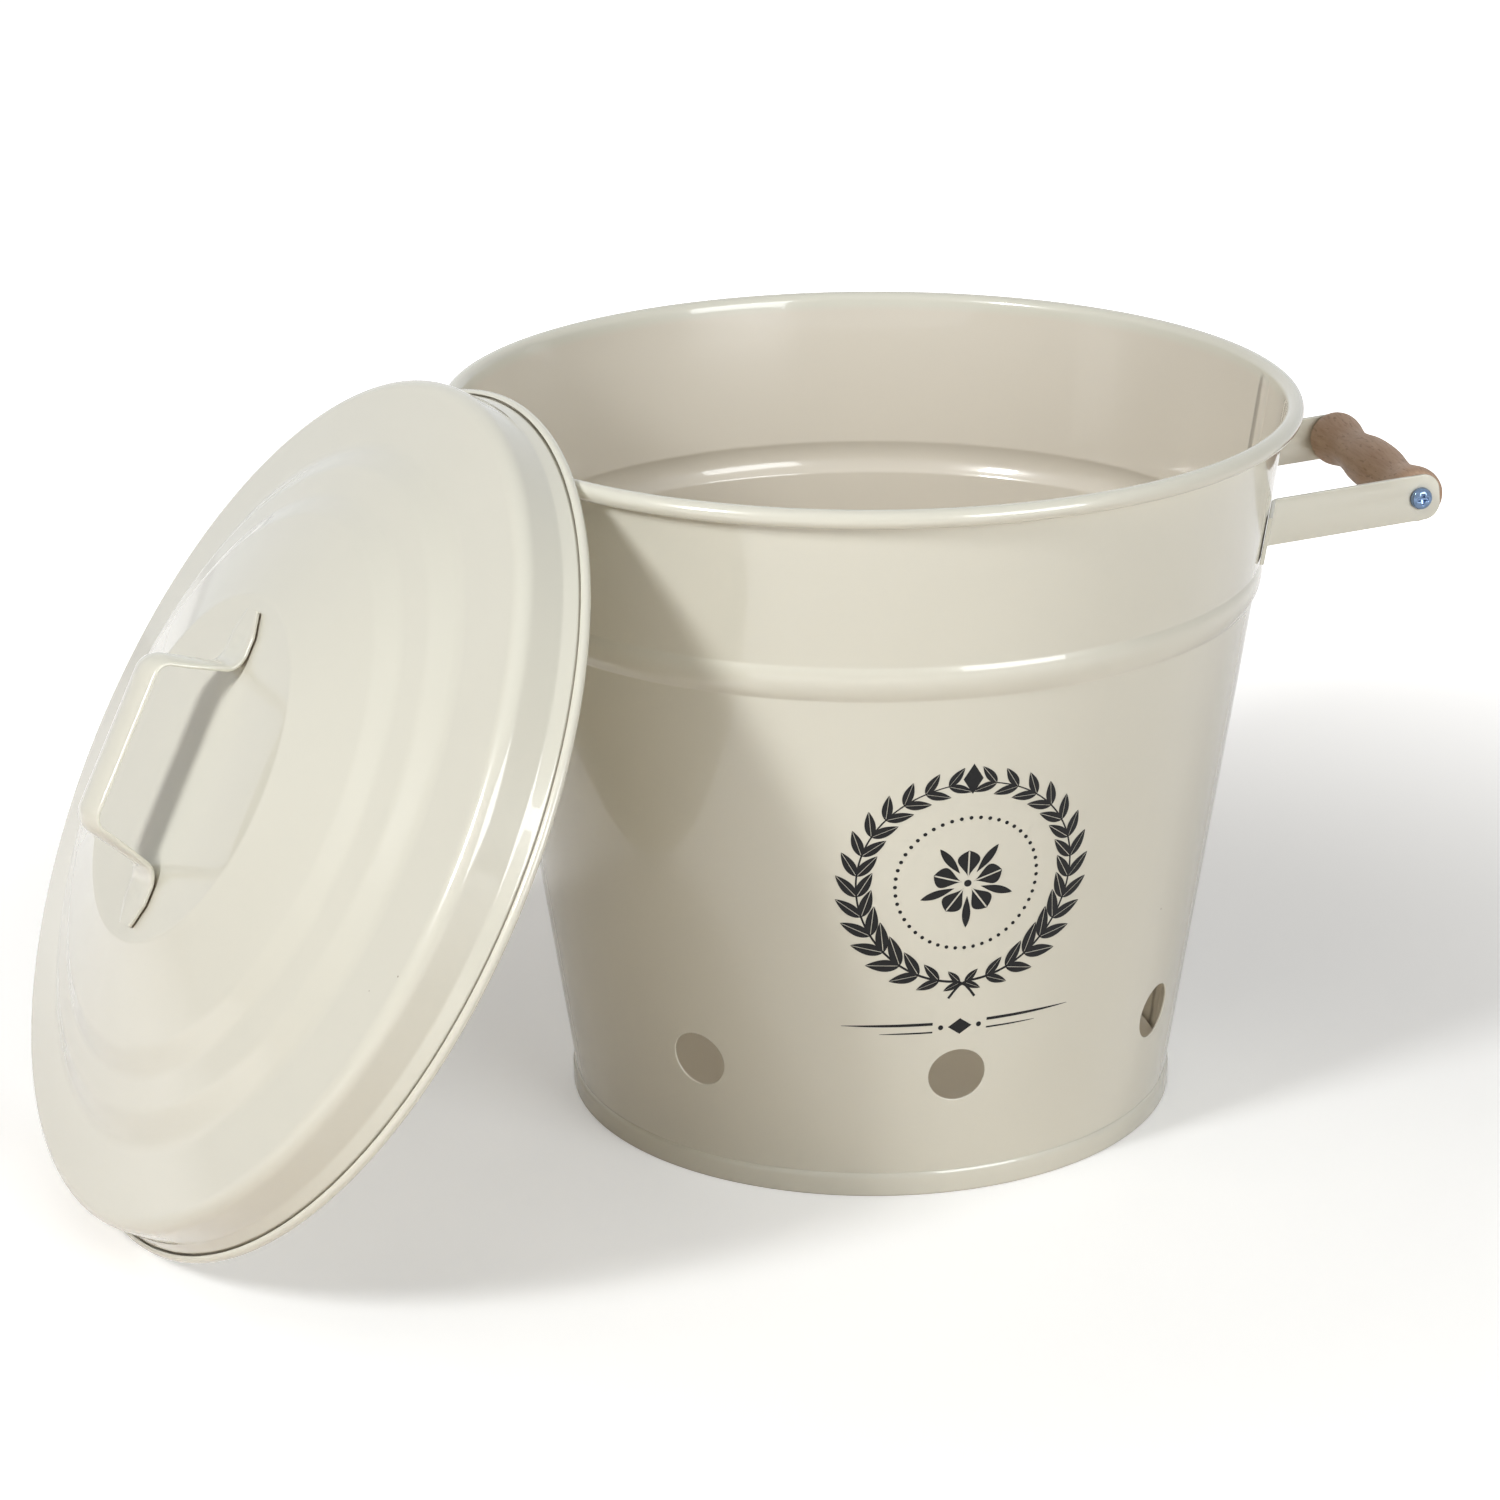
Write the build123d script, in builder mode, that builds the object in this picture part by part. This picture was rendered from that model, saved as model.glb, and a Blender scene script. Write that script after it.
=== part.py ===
from build123d import *
from math import asin, atan2, copysign, cos, degrees, hypot, radians, sin, sqrt, tan
import os

# Sizes in millimetres, angles in degrees. The origin is the centre of the foot on the floor;
# +Z is up, the front of the bin faces -Y and its two side handles stand out along +X and -X.

# Bin
bin_height = 267.5
rim_diameter = 312.0  # over the curled rim
foot_diameter = 227.8  # over the foot band
sheet = 0.8
curl_radius = 3.25  # outer radius of the curled rim
rim_curl_turn = 305.0
foot_band_height = 8.5
floor_height = 7.7  # top of the base pan's floor
seam_gap = 0.1  # between the wall and the base pan's channel

swage_drop = 70.5  # from the rim to the lower edge of the ring pressed out of the wall
swage_width = 12.0
swage_depth = 1.6
swage_blend = 2.0

vent_step_angle = 46.0  # between neighbours; three vents in front and three behind
vent_diameter = 20.6
vent_height = 48.4

lap_angle = -2.5  # middle of the wall's lap seam, from +X
lap_width = 7.0
lap_step = 0.4

# Side handles
strap_thickness = 1.5
strap_height = 17.2
strap_bend = 2.0
arm_end = 7.5  # of each arm, past the grip's axis
arm_end_corner = 6.3
handle_width = 90.0  # over the outer faces of a handle's two arms
arm_seat_gap = 1.8  # between the swage's upper edge and the arm
arm_foot_length = 23.0
weld_gap = 0.1
grip_reach = 196.4  # from the bin's axis to the grip's
grip_rise = 5.1  # of the grip above the middle of the strap at the wall
grip_end_gap = 0.3  # between each end of the grip and its arm
grip_end_diameter = 18.0
grip_bulb_diameter = 20.0
grip_bulb_place = 3.5  # from the grip's end
grip_neck_diameter = 15.8
grip_neck_place = 19.0
grip_swell_diameter = 19.6

screw_diameter = 4.0
screw_length = 24.0
screw_point = 3.0
screw_hole_clearance = 0.1  # radial, where the shank turns in the arm
screw_pilot_clearance = 0.05  # radial, in the wood
screw_head_gap = 0.15
screw_head_diameter = 8.2
screw_head_height = 2.7
screw_head_rim = 0.7
cross_width = 1.1
cross_length = 4.4
cross_depth = 1.5

# Lid
lid_fit = 0.5  # radial, between the lid's skirt and the curled rim
lid_bead_radius = 1.8  # outer radius of the lid's curled edge
lid_curl_turn = 280.0
skirt_flare = 1.7  # outward, above the curled edge
skirt_flare_top = 7.0
skirt_flare_bottom = 2.4
skirt_flare_blend = 3.0
lid_shoulder_height = 23.3  # heights on the lid are from the middle of its curled edge
lid_shoulder_blend = 5.6
outer_step_radius = 127.3
outer_step_height = 27.6
outer_step_width = 6.8
outer_step_rise = 5.0
inner_step_radius = 105.9
inner_step_height = 36.5
inner_step_width = 6.6
inner_step_rise = 4.3
step_blend = 3.0
plateau_radius = 63.8
plateau_height = 51.7
plateau_blend = 5.0

lid_strap_width = 18.0
lid_strap_thickness = 2.0
lid_strap_crown = 0.8
lid_strap_bend = 7.0
lid_handle_length = 62.0  # over the corners of its grip
lid_handle_height = 32.4
lid_foot_start = 37.6  # from the lid's axis to where the foot lies flat
lid_foot_end = 58.2
lid_foot_tip_width = 9.0
lid_handle_turn = 9.0
lid_handle_shift = 3.6  # of the handle, across its length

# Lid at rest, leaning on the rim
lean_angle = 59.8  # between the lid's plane and the floor
lean_azimuth = 192.15  # from +X
lean_clearance = 0.3  # to the curled rim
handle_clearance = 0.6  # to the side handle, inside the lid

os.makedirs("parts", exist_ok=True)

rim_radius = rim_diameter / 2
foot_radius = foot_diameter / 2
swage_height = bin_height - swage_drop
swage_top = swage_height + swage_width
swage_middle = swage_height + swage_width / 2
half_strap = strap_height / 2
arm_face = handle_width / 2
arm_root_height = swage_top + arm_seat_gap + half_strap
grip_height = arm_root_height + grip_rise


def mirrored(solid, planes):
    for plane in planes:
        solid = solid.mirror(plane)
    return solid


def finish(node, name):
    node.part.label = name
    export_step(node.part, f"parts/{name}.step")


# Wall: its outer face leaves the foot band's top and runs straight to the curl
curl_inner = curl_radius - sheet
curl_centre = (rim_radius - curl_radius, bin_height - curl_radius)
wall_start = (foot_radius - sheet - seam_gap, foot_band_height)
wall_run = (curl_centre[0] - wall_start[0], curl_centre[1] - wall_start[1])
wall_lean = atan2(*wall_run) - asin(curl_inner / hypot(*wall_run))
wall_bottom = sheet + seam_gap


def wall_radius(height):
    return wall_start[0] + (height - wall_start[1]) * tan(wall_lean)


def wall_point(height, proud=0.0):
    return (wall_radius(height) + proud, height)


def wall_side(bottom, inset, top):
    """One face of the wall from a height up to another, or to the curl: its edges and ends."""
    shift = -inset / cos(wall_lean)
    around = curl_inner + inset
    start = wall_point(bottom, shift)
    end = (curl_centre[0] - around * cos(wall_lean), curl_centre[1] + around * sin(wall_lean))
    if top:
        end = wall_point(top, shift)
    with BuildLine() as side:
        lower = Line(start, wall_point(swage_height, shift))
        ring_crest = wall_point(swage_middle, shift + swage_depth)
        ring = ThreePointArc(lower @ 1, ring_crest, wall_point(swage_top, shift))
        Line(ring @ 1, end)
        fillet(side.vertices().sort_by(Axis.Y)[1:3], swage_blend)
    return side.edges(), start, end


def wall_strip(bottom, outer_inset, inner_inset, top=None):
    """The edges round a strip of the wall's section, between two depths in from its outer face."""
    outer, outer_start, outer_end = wall_side(bottom, outer_inset, top)
    inner, inner_start, inner_end = wall_side(bottom, inner_inset, top)
    return [*outer, *inner, Edge.make_line(outer_start, inner_start), Edge.make_line(outer_end, inner_end)]


def curl_section(centre, radius, start, turn):
    """A ring of sheet round a centre, from the start angle through the turn."""
    opening = -copysign(360 - abs(turn), turn)
    rays = [radians(start + opening * share) for share in (0, 0.5, 1)]
    far = 2 * radius
    with Locations(centre):
        Circle(radius)
        Polygon((0, 0), *[(far * cos(ray), far * sin(ray)) for ray in rays], align=None, mode=Mode.SUBTRACT)
        Circle(radius - sheet, mode=Mode.SUBTRACT)


def radial_plane(angle):
    """Vertical plane through the bin's axis: local x runs outward, local y up."""
    turn = radians(angle)
    return Plane(origin=(0, 0, 0), x_dir=(cos(turn), sin(turn), 0), z_dir=(sin(turn), -cos(turn), 0))


with BuildPart() as bin_wall:
    with BuildSketch(Plane.XZ):
        curl_section(curl_centre, curl_radius, 180 - degrees(wall_lean), -rim_curl_turn)
        make_face(wall_strip(wall_bottom, 0, sheet))
    revolve(axis=Axis.Z)
    lap_angle_width = degrees(lap_width / rim_radius)
    with BuildSketch(radial_plane(lap_angle - lap_angle_width / 2)):
        lap_bottom = floor_height + lap_step
        lap_top = bin_height - 2 * curl_radius
        make_face(wall_strip(lap_bottom, sheet / 2, sheet + lap_step, lap_top))
    revolve(axis=Axis.Z, revolution_arc=lap_angle_width)
    for side_angle in (-90, 90):
        for place in (-1, 0, 1):
            vent_angle = radians(side_angle + place * vent_step_angle)
            outward = (cos(vent_angle), sin(vent_angle), 0)
            with BuildSketch(Plane(origin=(0, 0, vent_height), z_dir=outward)):
                Circle(vent_diameter / 2)
            extrude(amount=rim_radius, mode=Mode.SUBTRACT)
finish(bin_wall, "bin_wall")

# Base pan: a floor, a step down inside the wall, the foot, and a band folded up outside it
channel_inner = wall_radius(wall_bottom) - sheet / cos(wall_lean) - seam_gap
pan_outline = [
    (0, floor_height),
    (channel_inner, floor_height),
    (channel_inner, sheet),
    (foot_radius - sheet, sheet),
    (foot_radius - sheet, foot_band_height),
    (foot_radius, foot_band_height),
    (foot_radius, 0),
    (channel_inner - sheet, 0),
    (channel_inner - sheet, floor_height - sheet),
    (0, floor_height - sheet),
]

with BuildPart() as bin_base:
    with BuildSketch(Plane.XZ) as pan_section:
        with BuildLine():
            Polyline(*pan_outline, close=True)
        make_face()
        outer_corners = pan_section.vertices().sort_by(Axis.X)[-2:]
        fillet(outer_corners, sheet / 2.5)
    revolve(axis=Axis.Z)
finish(bin_base, "bin_base")

# Side handles: four strap arms, made as the right handle's front one and mirrored. A flat foot
# lies along the wall, and the arm stands out from it in a plane square to Y.
arm_inner_face = arm_face - strap_thickness
seat_radius = wall_radius(arm_root_height) + weld_gap / cos(wall_lean)
foot_turn = -asin((arm_face + arm_foot_length / 2) / seat_radius)
foot_to_corner = (-arm_inner_face - seat_radius * sin(foot_turn)) / cos(foot_turn)
strap_reach = grip_reach + half_strap


def foot_point(along):
    """A point on the back of the foot, from where it touches the wall."""
    return (
        seat_radius * cos(foot_turn) - along * sin(foot_turn),
        seat_radius * sin(foot_turn) + along * cos(foot_turn),
    )


arm_root = foot_point(foot_to_corner)[0]
arm_rise = atan2(grip_height - arm_root_height, grip_reach - arm_root)


def strap_edge(side):
    """Upper (side 1) or lower (side -1) edge of the strap: level on the wall, then rising to the grip."""
    level = arm_root_height + side * half_strap
    end = (
        grip_reach + arm_end * cos(arm_rise) - side * half_strap * sin(arm_rise),
        grip_height + arm_end * sin(arm_rise) + side * half_strap * cos(arm_rise),
    )
    return [(0, level), (arm_root, level), end]


with BuildPart() as front_arm:
    with BuildSketch(Plane.XY.offset(arm_root_height)):
        with BuildLine():
            FilletPolyline(
                foot_point(foot_to_corner - arm_foot_length - strap_thickness),
                foot_point(foot_to_corner),
                (strap_reach, -arm_inner_face),
                radius=strap_bend + strap_thickness,
            )
            offset(amount=strap_thickness, side=Side.RIGHT)
        make_face()
    extrude(amount=2 * (strap_height + abs(grip_rise)), dir=(tan(wall_lean), 0, cos(foot_turn)), both=True)
    with BuildSketch(Plane.XZ) as side_view:
        with BuildLine():
            upper = Polyline(*strap_edge(1))
            lower = Polyline(*strap_edge(-1))
            Line(lower @ 1, upper @ 1)
            Line(upper @ 0, lower @ 0)
        make_face()
        fillet(side_view.vertices().sort_by(Axis.X)[-2:], arm_end_corner)
        with Locations((grip_reach, grip_height)):
            Circle(screw_diameter / 2 + screw_hole_clearance, mode=Mode.SUBTRACT)
    extrude(amount=rim_radius, mode=Mode.INTERSECT)

arm_mirrors = {
    "right_handle_front_arm": [],
    "right_handle_rear_arm": [Plane.XZ],
    "left_handle_front_arm": [Plane.YZ],
    "left_handle_rear_arm": [Plane.XZ, Plane.YZ],
}
for name, planes in arm_mirrors.items():
    with BuildPart() as arm:
        add(mirrored(front_arm.part, planes))
    finish(arm, name)

# Grips: turned about a line along Y, with a pilot hole in each end for its screw
grip_axis = Axis((grip_reach, 0, grip_height), (0, 1, 0))
grip_half = arm_face - strap_thickness - grip_end_gap
screw_under_head = arm_face + screw_head_gap
screw_end = screw_under_head - screw_length

with BuildPart() as right_grip:
    with BuildSketch(Plane(origin=(grip_reach, 0, grip_height), x_dir=(0, 1, 0), z_dir=(1, 0, 0))):
        with BuildLine():
            shoulder = (grip_half, grip_end_diameter / 2)
            bulb = (grip_half - grip_bulb_place, grip_bulb_diameter / 2)
            neck = (grip_half - grip_neck_place, grip_neck_diameter / 2)
            swell = (0, grip_swell_diameter / 2)
            Spline(shoulder, bulb, neck, swell, tangents=[(0, 1), (-1, 0)])
            Polyline(swell, (0, 0), (grip_half, 0), shoulder)
        make_face()
        mirror(about=Plane.YZ)
    revolve(axis=grip_axis)
    for end in right_grip.faces().filter_by(Axis.Y):
        with BuildSketch(Plane(end)):
            Circle(screw_diameter / 2 + screw_pilot_clearance)
        extrude(amount=screw_end - grip_half - screw_pilot_clearance, mode=Mode.SUBTRACT)

with BuildPart() as right_grip_screws:
    with BuildSketch(Plane(origin=(grip_reach, 0, grip_height), x_dir=(0, -1, 0), z_dir=(1, 0, 0))):
        with BuildLine():
            head_edge = screw_under_head + screw_head_rim
            head_top = screw_under_head + screw_head_height
            shank = Polyline(
                (head_top, 0),
                (screw_end, 0),
                (screw_end + screw_point, screw_diameter / 2),
                (screw_under_head, screw_diameter / 2),
                (screw_under_head, screw_head_diameter / 2),
                (head_edge, screw_head_diameter / 2),
            )
            TangentArc(shank @ 0, shank @ 1, tangent=(0, 1))
        make_face()
    revolve(axis=grip_axis)
    with BuildSketch(Plane(origin=(grip_reach, -head_top, grip_height), z_dir=(0, -1, 0))):
        Rectangle(cross_length, cross_width)
        Rectangle(cross_width, cross_length)
    extrude(amount=-cross_depth, mode=Mode.SUBTRACT)
    mirror(about=Plane.XZ)

grip_pieces = {"grip": right_grip, "grip_screws": right_grip_screws}
for name, piece in grip_pieces.items():
    finish(piece, f"right_{name}")
    with BuildPart() as left_piece:
        add(piece.part.mirror(Plane.YZ))
    finish(left_piece, f"left_{name}")

# Lid: its frame has its origin in the middle of the curled edge, its normal away from the hollow
skirt_inner = rim_radius + lid_fit
skirt_outer = skirt_inner + sheet
skirt_edge = skirt_outer + skirt_flare
lid_curl_radius = skirt_edge + lid_bead_radius - sheet  # to the middle of the curl
lean = radians(lean_angle)
away = Vector(cos(radians(lean_azimuth)), sin(radians(lean_azimuth)), 0)
lid_normal = away * sin(lean) + Vector(0, 0, 1) * cos(lean)
lid_slope = Vector(0, 0, 1) * sin(lean) - away * cos(lean)
lid_centre_height = lid_curl_radius * sin(lean) + lid_bead_radius


lid_profile = [
    (0, plateau_height),
    (plateau_radius, plateau_height),
    (inner_step_radius - inner_step_width, inner_step_height + inner_step_rise),
    (inner_step_radius, inner_step_height),
    (outer_step_radius - outer_step_width, outer_step_height + outer_step_rise),
    (outer_step_radius, outer_step_height),
    (skirt_outer, lid_shoulder_height),
    (skirt_outer, skirt_flare_top),
    (skirt_edge, skirt_flare_bottom),
    (skirt_edge, 0),
]
lid_blends = [plateau_blend, *[step_blend] * 4, lid_shoulder_blend, *[skirt_flare_blend] * 2]


def hollow_depth(radius):
    """Depth of the lid's hollow, from the middle of its curled edge."""
    for inner, outer in zip(lid_profile, lid_profile[1:]):
        if radius < outer[0]:
            share = (radius - inner[0]) / (outer[0] - inner[0])
            return inner[1] + share * (outer[1] - inner[1]) - sheet
    return 0.0


def handle_room(centre):
    """Least room between the lid's hollow and the side handle's arms and grip."""
    bulb_face = arm_face - strap_thickness - grip_end_gap - grip_bulb_place
    rooms = []
    for face, radius in ((arm_face, half_strap), (bulb_face, grip_bulb_diameter / 2)):
        for rise in range(-90, 91, 5):
            reach = grip_reach + radius * cos(radians(rise))
            for side in (-face, face):
                tip = Vector(-reach, side, grip_height + radius * sin(radians(rise))) - centre
                depth = tip.dot(lid_normal)
                rooms.append(hollow_depth((tip - lid_normal * depth).length) - depth)
    return min(rooms)


def rim_gap(distance):
    """Least gap between the lid's curl and the rim's, with the lid's centre at a distance."""
    gaps = []
    for step in range(720):
        turn = radians(step / 2)
        from_middle = distance - lid_curl_radius * cos(turn) * cos(lean)
        level = lid_centre_height + lid_curl_radius * cos(turn) * sin(lean)
        from_axis = hypot(from_middle, lid_curl_radius * sin(turn))
        gaps.append(hypot(from_axis - curl_centre[0], level - curl_centre[1]) - curl_radius - lid_bead_radius)
    return min(gaps)


lid_distance = rim_radius + lid_curl_radius
nearer = lid_curl_radius * cos(lean)
while lid_distance - nearer > 0.001:
    middle = (lid_distance + nearer) / 2
    lid_centre = away * middle + Vector(0, 0, 1) * lid_centre_height
    if rim_gap(middle) < lean_clearance or handle_room(lid_centre) < handle_clearance:
        nearer = middle
    else:
        lid_distance = middle
lid_centre = away * lid_distance + Vector(0, 0, 1) * lid_centre_height


def lid_plane(turn=0.0):
    """Plane through the lid's axis: local x runs up the slope, local y along the normal."""
    along = lid_slope.rotate(Axis((0, 0, 0), lid_normal), turn)
    return Plane(origin=lid_centre, x_dir=along, z_dir=along.cross(lid_normal))


lid_axis = Axis(lid_centre, lid_normal)

with BuildPart() as lid_shell:
    with BuildSketch(lid_plane()):
        curl_section((lid_curl_radius, 0), lid_bead_radius, 180, lid_curl_turn)
        with BuildLine():
            FilletPolyline(*lid_profile, radius=lid_blends)
            offset(amount=sheet, side=Side.RIGHT)
        make_face()
    revolve(axis=lid_axis)
finish(lid_shell, "lid_shell")

# Lid handle: a crowned strap bent to a bridge, its ends flat on the plateau
strap_base = plateau_height + lid_strap_thickness / 2
strap_top = plateau_height + lid_handle_height - lid_strap_thickness / 2
handle_plane = lid_plane(lid_handle_turn).offset(lid_handle_shift)
grip_corner = lid_handle_length / 2

with BuildPart() as lid_handle:
    with BuildLine(handle_plane) as bridge:
        FilletPolyline(
            (-lid_foot_end, strap_base),
            (-lid_foot_start, strap_base),
            (-grip_corner, strap_top),
            (grip_corner, strap_top),
            (lid_foot_start, strap_base),
            (lid_foot_end, strap_base),
            radius=lid_strap_bend,
        )
    with BuildSketch(Plane(origin=bridge.line @ 0, x_dir=handle_plane.z_dir, z_dir=bridge.line % 0)):
        half_width = lid_strap_width / 2
        half_thickness = lid_strap_thickness / 2
        edge_height = half_thickness - lid_strap_crown
        with BuildLine():
            under = Polyline(
                (-half_width, edge_height),
                (-half_width, -half_thickness),
                (half_width, -half_thickness),
                (half_width, edge_height),
            )
            ThreePointArc(under @ 0, (0, half_thickness), under @ 1)
        make_face()
    sweep(path=bridge.line)
    with BuildSketch(Plane(origin=handle_plane.origin, x_dir=handle_plane.x_dir, z_dir=lid_normal)):
        tongue = lid_foot_end - lid_strap_width / 2
        half_tip = lid_foot_tip_width / 2
        with BuildLine():
            Polyline(
                (lid_foot_end, half_tip),
                (tongue, half_width),
                (-tongue, half_width),
                (-lid_foot_end, half_tip),
                (-lid_foot_end, -half_tip),
                (-tongue, -half_width),
                (tongue, -half_width),
                (lid_foot_end, -half_tip),
                close=True,
            )
        make_face()
    extrude(amount=2 * plateau_height, mode=Mode.INTERSECT)
finish(lid_handle, "lid_handle")
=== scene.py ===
import math

import bmesh
import bpy
from mathutils import Matrix, Vector


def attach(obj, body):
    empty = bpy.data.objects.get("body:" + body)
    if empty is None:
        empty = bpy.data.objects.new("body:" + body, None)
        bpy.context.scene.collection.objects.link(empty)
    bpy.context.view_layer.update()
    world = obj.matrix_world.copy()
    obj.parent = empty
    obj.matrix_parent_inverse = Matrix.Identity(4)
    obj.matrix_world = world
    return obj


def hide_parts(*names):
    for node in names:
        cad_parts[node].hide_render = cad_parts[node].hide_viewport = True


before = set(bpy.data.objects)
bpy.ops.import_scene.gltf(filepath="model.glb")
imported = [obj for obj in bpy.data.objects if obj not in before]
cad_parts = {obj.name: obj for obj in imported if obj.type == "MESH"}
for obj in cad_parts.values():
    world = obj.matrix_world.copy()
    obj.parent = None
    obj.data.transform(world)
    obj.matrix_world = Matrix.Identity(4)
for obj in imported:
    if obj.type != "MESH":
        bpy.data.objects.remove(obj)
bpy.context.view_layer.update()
scene = bpy.context.scene
mm = 0.001  # the pieces' dictionaries hold millimetres and degrees, except where they say otherwise


# small tools for node trees and meshes

def put(tree, kind, feeds=None, **settings):  # adds a node; feeds gives an input its value or its link
    node = tree.nodes.new(kind)
    for key, value in settings.items():
        setattr(node, key, value)
    for key, value in (feeds or {}).items():
        if isinstance(value, bpy.types.NodeSocket):
            tree.links.new(value, node.inputs[key])
        else:
            node.inputs[key].default_value = value
    return node


def reckon(tree, operation, *terms):  # one Math node, read as a number
    node = put(tree, "ShaderNodeMath", dict(enumerate(terms)), operation=operation)
    return node.outputs[0]


def spread(tree, value, to=(0.0, 1.0), source=(0.0, 1.0), **settings):  # one Map Range node
    return put(tree, "ShaderNodeMapRange", {
        "Value": value, "From Min": source[0], "From Max": source[1], "To Min": to[0], "To Max": to[1],
    }, **settings).outputs[0]


def vector(tree, **parts):  # one Combine XYZ node
    return put(tree, "ShaderNodeCombineXYZ", parts).outputs[0]


def partsOf(tree, value):  # one Separate XYZ node
    return put(tree, "ShaderNodeSeparateXYZ", {0: value}).outputs


def blend(tree, share, first, second):  # one Mix node between two colours
    return put(tree, "ShaderNodeMixRGB", {0: share, 1: first, 2: second}).outputs[0]


def noise(tree, where, scale, detail, **more):  # one Noise Texture node
    feeds = {"Vector": where, "Scale": scale, "Detail": detail, **more}
    return put(tree, "ShaderNodeTexNoise", feeds).outputs[0]


def rotation(tree, **angles):  # one Euler to Rotation node
    return put(tree, "FunctionNodeEulerToRotation", {0: vector(tree, **angles)}).outputs[0]


def shapeOf(tree, holder, instance=False):  # one Object Info node, read as geometry
    feeds = {"Object": holder, "As Instance": instance}
    return put(tree, "GeometryNodeObjectInfo", feeds).outputs["Geometry"]


def newTree(name, kind, inputs, outputs):  # an input is given by its value, or by its kind alone
    tree = bpy.data.node_groups.new(name, kind + "NodeTree")
    for label, socketKind in outputs.items():
        tree.interface.new_socket(label, in_out="OUTPUT", socket_type="NodeSocket" + socketKind)
    for label, value in inputs.items():
        bare = isinstance(value, str)
        socketKind = value if bare else {float: "Float", int: "Int", tuple: "Vector"}[type(value)]
        socket = tree.interface.new_socket(label, in_out="INPUT", socket_type="NodeSocket" + socketKind)
        if not bare:
            socket.default_value = value
    return tree, put(tree, "NodeGroupInput").outputs, put(tree, "NodeGroupOutput").inputs


def objectFrom(name, data):
    made = bpy.data.objects.new(name, data)
    scene.collection.objects.link(made)
    return made


def plainMesh(name, points, edges=(), faces=()):
    mesh = bpy.data.meshes.new(name)
    mesh.from_pydata([tuple(point) for point in points], list(edges), list(faces))
    return objectFrom(name, mesh)


def chain(name, points):  # a line of points in the XZ plane, for a tree to follow
    spots = [(x * mm, 0, z * mm) for x, z in points]
    return plainMesh(name, spots, edges=[(i, i + 1) for i in range(len(spots) - 1)])


def grow(name, tree, values):  # runs a geometry tree once and keeps the plain mesh
    carrier = objectFrom(name + "Maker", bpy.data.meshes.new(name + "Maker"))
    modifier = carrier.modifiers.new("make", "NODES")
    modifier.node_group = tree
    for item in tree.interface.items_tree:
        if item.in_out == "INPUT" and item.name in values:
            modifier[item.identifier] = values[item.name]
    graph = bpy.context.evaluated_depsgraph_get()
    mesh = bpy.data.meshes.new_from_object(carrier.evaluated_get(graph))
    bpy.data.objects.remove(carrier)
    for value in values.values():
        if isinstance(value, bpy.types.Object):
            bpy.data.objects.remove(value)
    return objectFrom(name, mesh)


def settle(piece):  # keeps what the modifiers make as the piece's own mesh
    graph = bpy.context.evaluated_depsgraph_get()
    mesh = bpy.data.meshes.new_from_object(piece.evaluated_get(graph))
    piece.modifiers.clear()
    piece.data = mesh
    return piece


def thicken(piece, thickness):  # outwards from the face that was drawn
    solid = piece.modifiers.new("sheet", "SOLIDIFY")
    solid.thickness = thickness * mm
    solid.offset = 1.0
    solid.use_even_offset = True


def roundEdges(piece, look):
    bevel = piece.modifiers.new("edges", "BEVEL")
    bevel.width = look["edge"] * mm
    bevel.segments = look["edgeSteps"]
    bevel.limit_method = "ANGLE"
    bevel.angle_limit = math.radians(look["sharpFrom"])
    bevel.harden_normals = True


def place(piece, matrix):  # puts the piece's place into its mesh
    piece.data.transform(matrix)
    piece.data.update()


def roundedPath(points, radii, turnStep=10):  # corners become arcs
    path = [Vector(points[0])]
    for before, corner, after, radius in zip(points, points[1:], points[2:], radii):
        corner = Vector(corner)
        back = (Vector(before) - corner).normalized()
        ahead = (Vector(after) - corner).normalized()
        half = back.angle(ahead) / 2
        if radius <= 0:
            path.append(corner)
            continue
        centre = corner + (back + ahead).normalized() * radius / math.sin(half)
        first = corner + back * radius / math.tan(half) - centre
        last = corner + ahead * radius / math.tan(half) - centre
        turn = math.atan2(first.x * last.y - first.y * last.x, first.dot(last))
        count = max(3, math.ceil(abs(math.degrees(turn)) / turnStep))
        for step in range(count + 1):
            angle = turn * step / count
            path.append(centre + Vector((
                first.x * math.cos(angle) - first.y * math.sin(angle),
                first.x * math.sin(angle) + first.y * math.cos(angle),
            )))
    path.append(Vector(points[-1]))
    return path


def divided(path, gap, hold=0.6):  # long runs get points near both ends and between
    result = [path[0]]
    for start, end in zip(path, path[1:]):
        run = (end - start).length
        if run > 3 * hold:
            inner = run - 2 * hold
            count = max(1, math.ceil(inner / gap))
            stops = [hold + inner * step / count for step in range(count + 1)]
            result += [start.lerp(end, stop / run) for stop in stops]
        result.append(end)
    return result


def shifted(path, amount):  # a copy of the path to its left
    result = []
    for index, point in enumerate(path):
        before = path[max(0, index - 1)]
        after = path[min(len(path) - 1, index + 1)]
        along = (after - before).normalized()
        result.append(point + Vector((-along.y, along.x)) * amount)
    return result


def easedThrough(points, steps=6):  # a smooth line through points
    result = []
    for index in range(len(points) - 1):
        p0 = points[max(0, index - 1)]
        p1, p2 = points[index], points[index + 1]
        p3 = points[min(len(points) - 1, index + 2)]
        for step in range(steps):
            t = step / steps
            bend = (2 * p0 - 5 * p1 + 4 * p2 - p3) * t * t
            twist = (3 * p1 - p0 - 3 * p2 + p3) * t ** 3
            result.append(0.5 * (2 * p1 + (p2 - p0) * t + bend + twist))
    result.append(points[-1])
    return result


def arcPath(centre, radius, start, turn, step=10):
    count = math.ceil(abs(turn) / step)
    angles = [math.radians(start + turn * i / count) for i in range(count + 1)]
    return [Vector((centre[0] + radius * math.cos(a), centre[1] + radius * math.sin(a))) for a in angles]


# shader groups shared by the finishes

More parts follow.
